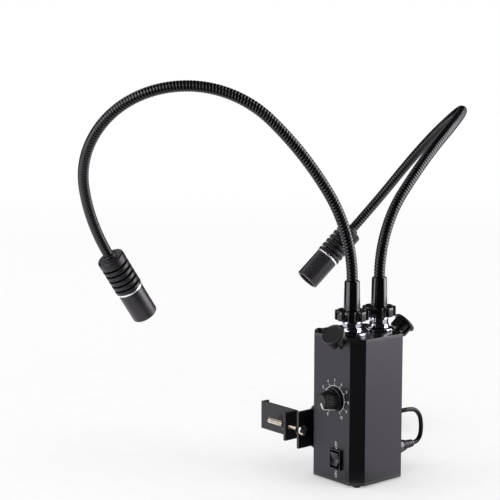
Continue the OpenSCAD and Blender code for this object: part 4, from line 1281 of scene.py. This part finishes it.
@dataclass
class ArmBase:
    """Chrome base, swivel stem, lobed collar, sleeve and thumb screw of one arm."""

    arm: Arm
    stem_z: float = 106.7
    collar_z: float = 111.6
    collar_h: float = 6.6
    sleeve_z: float = 115.2
    sleeve_top: float = 138.2
    sleeve_r: float = 5.75
    sleeve_top_r: float = 5.15
    thumb_hole_z: float = 96.1
    thumb_swing: float = 15.0
    thumb_tilt: float = 42.0
    thumb_out: float = 11.0
    thumb_l: float = 9.0
    thumb_tip: float = 8.9
    thumb_pitch: float = 0.7

    def name(self, what: str) -> str:
        """Name of one of this arm's nodes or pieces."""
        return f"{what}_{self.arm.value}"

    def body(self, what: str) -> str:
        """Name of one of this arm's bodies."""
        return f"{self.arm.value}_{what}"

    def on_axis(self, z: float = 0.0) -> Matrix:
        """Place on the arm's axis at a height."""
        return shift(ARM_X, self.arm.y, z)

    def base(self) -> None:
        """Makes the chrome base with its flared foot."""
        quarter = [k * math.pi / 14 for k in range(8)]
        flare = [(8.6 - 1.9 * math.sin(a), 2.0 + 3.0 * (1 - math.cos(a))) for a in quarter]
        outer = [(7.0, -16.3), (7.0, 0.0), (10.05, 0.0), (10.25, 0.3), (10.25, 1.4), (9.8, 1.95), (9.0, 2.0)]
        profile = softened([(5.1, -16.3), *outer], 0.2)[:-1] + flare + [(6.5, 5.0), (5.1, 5.0)]
        Shape.turned(profile, 96, closed=True).placed(self.on_axis(DECK_Z)).piece(
            self.name("chrome_base"), CHROME, "base", (self.name("arm_base"),))

    def stem(self) -> None:
        """Makes the chrome swivel stem."""
        profile = softened([
            (0.0, 85.1), (5.0, 85.1), (5.0, self.stem_z), (6.2, self.stem_z), (6.5, self.stem_z + 0.35), (6.5, 110.6),
            (6.1, 111.0), (6.0, 115.1), (0.0, 115.1)], 0.15, 2)
        Shape.turned(profile, 96).placed(self.on_axis()).piece(
            self.name("chrome_stem"), CHROME, self.body("swivel"), (self.name("swivel_stem"),))

    def collar(self) -> None:
        """Makes the lobed lock collar."""
        h = self.collar_h
        edge = flat_lobes(8, 10.0, 6.5, 1.82)
        profile = softened([
            (6.1, 0.0), (10.9, 0.0, 1), (11.6, 0.5, 1), (11.6, h - 0.5, 1), (11.1, h, 1), (8.6, h, 0.35),
            (8.0, h - 0.35), (6.5, h - 0.35), (6.1, h - 0.7)], 0.3)
        Shape.turned(profile, 256, edge, closed=True).placed(self.on_axis(self.collar_z)).piece(
            self.name("lock_collar_lobed"), COLLAR_PHENOLIC, self.body("collar"), (self.name("lock_collar"),), 45)

    def sleeve(self) -> None:
        """Makes the lacquered sleeve that holds the neck."""
        top, foot = self.sleeve_top, self.sleeve_z
        profile = softened([
            (2.2, foot), (self.sleeve_r, foot), (self.sleeve_r, 118.4), (self.sleeve_r - 0.05, 119.4),
            (self.sleeve_top_r, top - 0.5), (self.sleeve_top_r - 0.4, top), (4.2, top), (4.2, top - 7.7),
            (2.2, top - 7.7)], 0.25)
        Shape.turned(profile, 96, closed=True).placed(self.on_axis()).piece(
            self.name("sleeve_lacquered"), SLEEVE_LACQUER, self.body("swivel"), (self.name("neck_sleeve"),))

    def thumb(self) -> None:
        """Makes the thumb screw: ringed shank, lobed grip and round end disc."""
        way = -1 if self.arm is Arm.FRONT else 1
        room = self.arm.y - FRONT_Y if self.arm is Arm.FRONT else REAR_Y - self.arm.y
        tilt = math.radians(self.thumb_tilt)
        aim_z = self.thumb_hole_z - room * math.tan(tilt) / math.cos(math.radians(self.thumb_swing))
        place = self.on_axis(aim_z) @ turn_about("Z", way * (90 - self.thumb_swing))
        place = place @ turn_about("Y", 90 - self.thumb_tilt)
        end = (room + self.thumb_out) / math.cos(tilt)
        grip, tip = end - self.thumb_l, self.thumb_tip
        profile = [(0, tip), (1.5, tip)]
        for k in range(int((grip - tip - 1.2) / self.thumb_pitch)):
            z = tip + 0.4 + self.thumb_pitch * k
            profile += [(1.68, z), (1.98, z + 0.25), (1.98, z + 0.4)]
        profile += softened([
            (1.98, grip), (5.9, grip, 1), (6.7, grip + 0.8, 1), (6.7, end - 2.5, 1), (7.4, end - 2.5), (8.0, end - 2.0),
            (8.0, end - 0.6), (7.4, end), (6.9, end), (6.6, end - 0.2), (0, end - 0.2)], 0.3)
        edge = flat_lobes(7, 13.0, 6.0, 1.6)
        Shape.turned(profile, 168, edge).placed(place).piece(
            self.name("thumb_screw_lobed"), KNOB_ABS, self.body("thumb"), (self.name("thumb_screw"),))

    def build(self) -> None:
        """Makes every piece of the base."""
        self.base()
        self.stem()
        self.collar()
        self.sleeve()
        self.thumb()


@dataclass
class Gooseneck:
    """Wound neck of one arm, laid along its six bent sections."""

    arm: Arm
    foot_z: float = 138.2
    section_l: float = 62.0
    sections: int = 6
    radius: float = 3.85
    groove: float = 0.3
    pitch: float = 62.0 / 28
    sides: int = 24
    per_turn: int = 8
    sleeve_grip: float = 7.44
    head_grip: float = 3.9
    blend_in: float = 5.0

    @property
    def bends(self) -> tuple[int, ...]:
        """Bend of each section in degrees."""
        return (31, 15, 45, 45, 44, 23) if self.arm is Arm.FRONT else (45, 17, 39, 44, 37, 32)

    @property
    def rolls(self) -> tuple[int, ...]:
        """Roll before each section in degrees."""
        return (233, -5, -8, -16, -8, 12) if self.arm is Arm.FRONT else (94, 26, 30, 0, -8, 13)

    def arc(self, s: float, bend: float) -> Matrix:
        """Place along a section that bends in its own XZ plane.

        Args:
            s: Distance along the section; past its ends it runs on straight.
            bend: Bend of the whole section in degrees.

        Returns:
            The place, with +Z along the neck.
        """
        inside = min(max(s, 0.0), self.section_l)
        turn = math.radians(bend) * inside / self.section_l
        r = self.section_l / math.radians(bend)
        over = s - inside
        return shift(
            r * (1 - math.cos(turn)) + over * math.sin(turn), 0, r * math.sin(turn) + over * math.cos(turn),
        ) @ turn_about("Y", math.degrees(turn))

    def station(self, s: float) -> Matrix:
        """Place along the whole neck, without twist from section to section.

        Args:
            s: Distance from the sleeve's mouth.

        Returns:
            The place, with +Z along the neck.
        """
        index = min(max(int(s // self.section_l), 0), self.sections - 1)
        place, rolled = shift(ARM_X, self.arm.y, self.foot_z), 0.0
        for k in range(index):
            place = place @ turn_about("Z", self.rolls[k]) @ self.arc(self.section_l, self.bends[k])
            rolled += self.rolls[k]
        rolled += self.rolls[index]
        place = place @ turn_about("Z", self.rolls[index]) @ self.arc(s - index * self.section_l, self.bends[index])
        return place @ turn_about("Z", -rolled)

    def skin(self, first: int, last: int) -> Shape:
        """Winds the neck's strip over part of its length.

        Args:
            first: Row of the winding where the part starts.
            last: Row where it ends.

        Returns:
            The part, closed at both ends.
        """
        made, n = Shape(), self.sides
        step = self.pitch / self.per_turn
        for i in range(first, last + self.per_turn + 1):
            u = abs(2 * (i % self.per_turn) / self.per_turn - 1)
            r = self.radius - self.groove * u ** 4
            for j in range(n):
                a = math.tau * j / n
                place = self.station(i * step + self.pitch * j / n)
                made.verts.append(place @ Vector((r * math.cos(a), r * math.sin(a), 0)))
        rows = last - first
        for i in range(rows):
            for j in range(n):
                k, up = (j + 1, i) if j < n - 1 else (0, i + self.per_turn)
                made.faces.append((i * n + j, up * n + k, (up + 1) * n + k, (i + 1) * n + j))
        for row, flip in ((0, True), (rows, False)):
            made.verts.append(self.station((first + row) * step + self.pitch / 2).translation)
            centre = len(made.verts) - 1
            edge = [row * n + j for j in range(n)] + [(row + k) * n for k in range(self.per_turn, -1, -1)]
            for a, b in zip(edge, edge[1:]):
                made.faces.append((centre, b, a) if flip else (centre, a, b))
        used = sorted({i for f in made.faces for i in f})
        renumbered = {old: new for new, old in enumerate(used)}
        made.verts = [made.verts[i] for i in used]
        made.faces = [tuple(renumbered[i] for i in f) for f in made.faces]
        return made.unmapped()

    def build(self) -> None:
        """Makes the neck: its foot rides the swivel and its end the head, and the five parts between are made without a
        body.
        """
        a, step, half = self.arm.value, self.pitch / self.per_turn, self.section_l / 2
        row = [round((half + self.section_l * k) / step) for k in range(self.sections)]
        bodies = [f"{a}_swivel", *[f"{a}_neck_{k}" for k in range(2, self.sections)], f"{a}_head"]
        self.skin(round(-self.sleeve_grip / step), row[0]).piece(
            f"neck_skin_{a}_1", NECK_STEEL, bodies[0], (f"neck_{a}_1",), 60)
        end = round((self.section_l * self.sections + self.head_grip) / step)
        for k in range(1, self.sections):
            nodes = (f"neck_{a}_{k + 1}",) if k < self.sections - 1 else ()
            made = self.skin(row[k - 1], row[k]).piece(f"neck_skin_{a}_{k + 1}", NECK_STEEL, None, nodes, 60)
            start = self.station(row[k - 1] * step + self.blend_in).translation * MM
            stop = self.station(row[k] * step - self.blend_in).translation * MM
            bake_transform(made)
        self.skin(row[-1], end).piece(
            f"neck_skin_{a}_{self.sections + 1}", NECK_STEEL, bodies[-1], (f"neck_{a}_{self.sections}",), 60)


@dataclass
class LampHead:
    """Finned heat sink, trim ring, barrel, LED and lens at the end of one neck."""

    neck: Gooseneck
    sink_l: float = 29.0
    cap_l: float = 6.0
    fin_r: float = 10.3
    core_r: float = 6.5
    fins: int = 5
    gap: float = 2.0
    ring_l: float = 1.6
    barrel_r: float = 9.7
    barrel_l: float = 25.0
    wall: float = 1.4
    board_in: float = 5.0

    def name(self, what: str) -> str:
        """Name of one of this head's nodes or pieces."""
        return f"{what}_{self.neck.arm.value}"

    def sink(self, place: Matrix) -> None:
        """Makes the turned heat sink.

        Args:
            place: End of the neck, with +Z towards the lamp's mouth.
        """
        fin_step = (self.sink_l - self.cap_l) / self.fins
        cap = [(4.2, -2.5), (5.2, -2.5), (5.5, -2.1), (5.5, 0.0), (9.0, 0.0), (10.0, 0.45), (self.fin_r, 1.3),
               (self.fin_r, self.cap_l)]
        fins = []
        for k in range(self.fins):
            z = self.cap_l + fin_step * k
            fins += [(self.core_r, z), (self.core_r, z + self.gap), (self.fin_r, z + self.gap),
                     (self.fin_r, z + fin_step)]
        nose = [(8.2, self.sink_l), (8.2, self.sink_l + 6.5), (2.1, self.sink_l + 6.5), (2.1, 6.4), (4.2, 6.4)]
        profile = softened([*cap, *fins, *nose], 0.3)
        self._fit(Shape.turned(profile, 96, closed=True).placed(place), "heat_sink", "finned", SINK_ANODISED)

    @property
    def body(self) -> str:
        """The body that carries the head."""
        return f"{self.neck.arm.value}_head"

    def _fit(self, shape: Shape, node: str, made_how: str, finish: Finish) -> None:
        """Makes a placed shape the piece that stands for one of the head's nodes."""
        shape.piece(self.name(f"{node}_{made_how}"), finish, self.body, (self.name(node),))

    def front(self, place: Matrix) -> None:
        """Makes the trim ring, the barrel and what is in it.

        Args:
            place: End of the neck, with +Z towards the lamp's mouth.
        """
        z0 = self.sink_l
        z1, r, w = z0 + self.ring_l, self.barrel_r, self.wall
        ring = softened([(8.3, z0), (9.8, z0), (10.1, z0 + 0.3), (10.1, z0 + 1.3), (9.8, z1), (8.3, z1)], 0.2)
        self._fit(Shape.turned(ring, 96, closed=True).placed(place), "trim_ring", "turned", RING_ALUMINIUM)
        end = z1 + self.barrel_l
        barrel = softened([
            (r - w, z1), (r - 0.2, z1), (r, z1 + 0.25), (r, end - 0.7), (r - 0.6, end), (r - w - 0.6, end),
            (r - w - 1.0, end - 0.5), (r - w - 1.0, end - 1.2), (r - w, end - 1.2)], 0.25)
        self._fit(Shape.turned(barrel, 96, closed=True).placed(place), "lamp_barrel", "turned", BARREL_ANODISED)
        quarter = [k * math.pi / 12 for k in range(6)]
        lens = softened([
            (0, end - 7.2), (7.6, end - 7.2), (8.2, end - 6.8), (8.2, end - 2.6), (7.2, end - 2.2)], 0.3)
        lens += [(7.2 * math.cos(a), end - 2.2 + 0.9 * math.sin(a)) for a in quarter[1:]]
        self._fit(Shape.turned([*lens, (0, end - 1.3)], 72).placed(place), "lens", "moulded", LENS_ACRYLIC)
        board = z1 + self.board_in
        plate = softened([(0, board), (7.0, board), (7.0, board + 1.6), (0, board + 1.6)], 0.2, 2)
        self._fit(Shape.turned(plate, 64).placed(place), "led_board", "masked", LED_MASK)
        dome = [(0, board + 1.6), (2.5, board + 1.6)]
        dome += [(2.5 * math.cos(a), board + 1.7 + 1.35 * math.sin(a)) for a in quarter]
        Shape.turned([*dome, (0, board + 3.05)], 48).placed(place).piece(
            self.name("led_dome"), LED_PHOSPHOR, self.body)

    def build(self) -> None:
        """Makes every piece of the head."""
        place = self.neck.station(self.neck.section_l * self.neck.sections)
        self.sink(place)
        self.front(place)


# ---------------------------------------------------------------- the whole object


def main() -> None:
    """Builds the studio and every sub-assembly."""
    logging.basicConfig(level=logging.INFO, format="%(message)s")
    studio = Studio()
    studio.camera()
    PowerLead().build()
    Housing().build()
    FrontPanel().build()
    PostClamp().build()
    for arm in Arm:
        ArmBase(arm).build()
        neck = Gooseneck(arm)
        neck.build()
        LampHead(neck).build()
    studio.surroundings()
    studio.lamps()


if __name__ == "__main__":
    main()
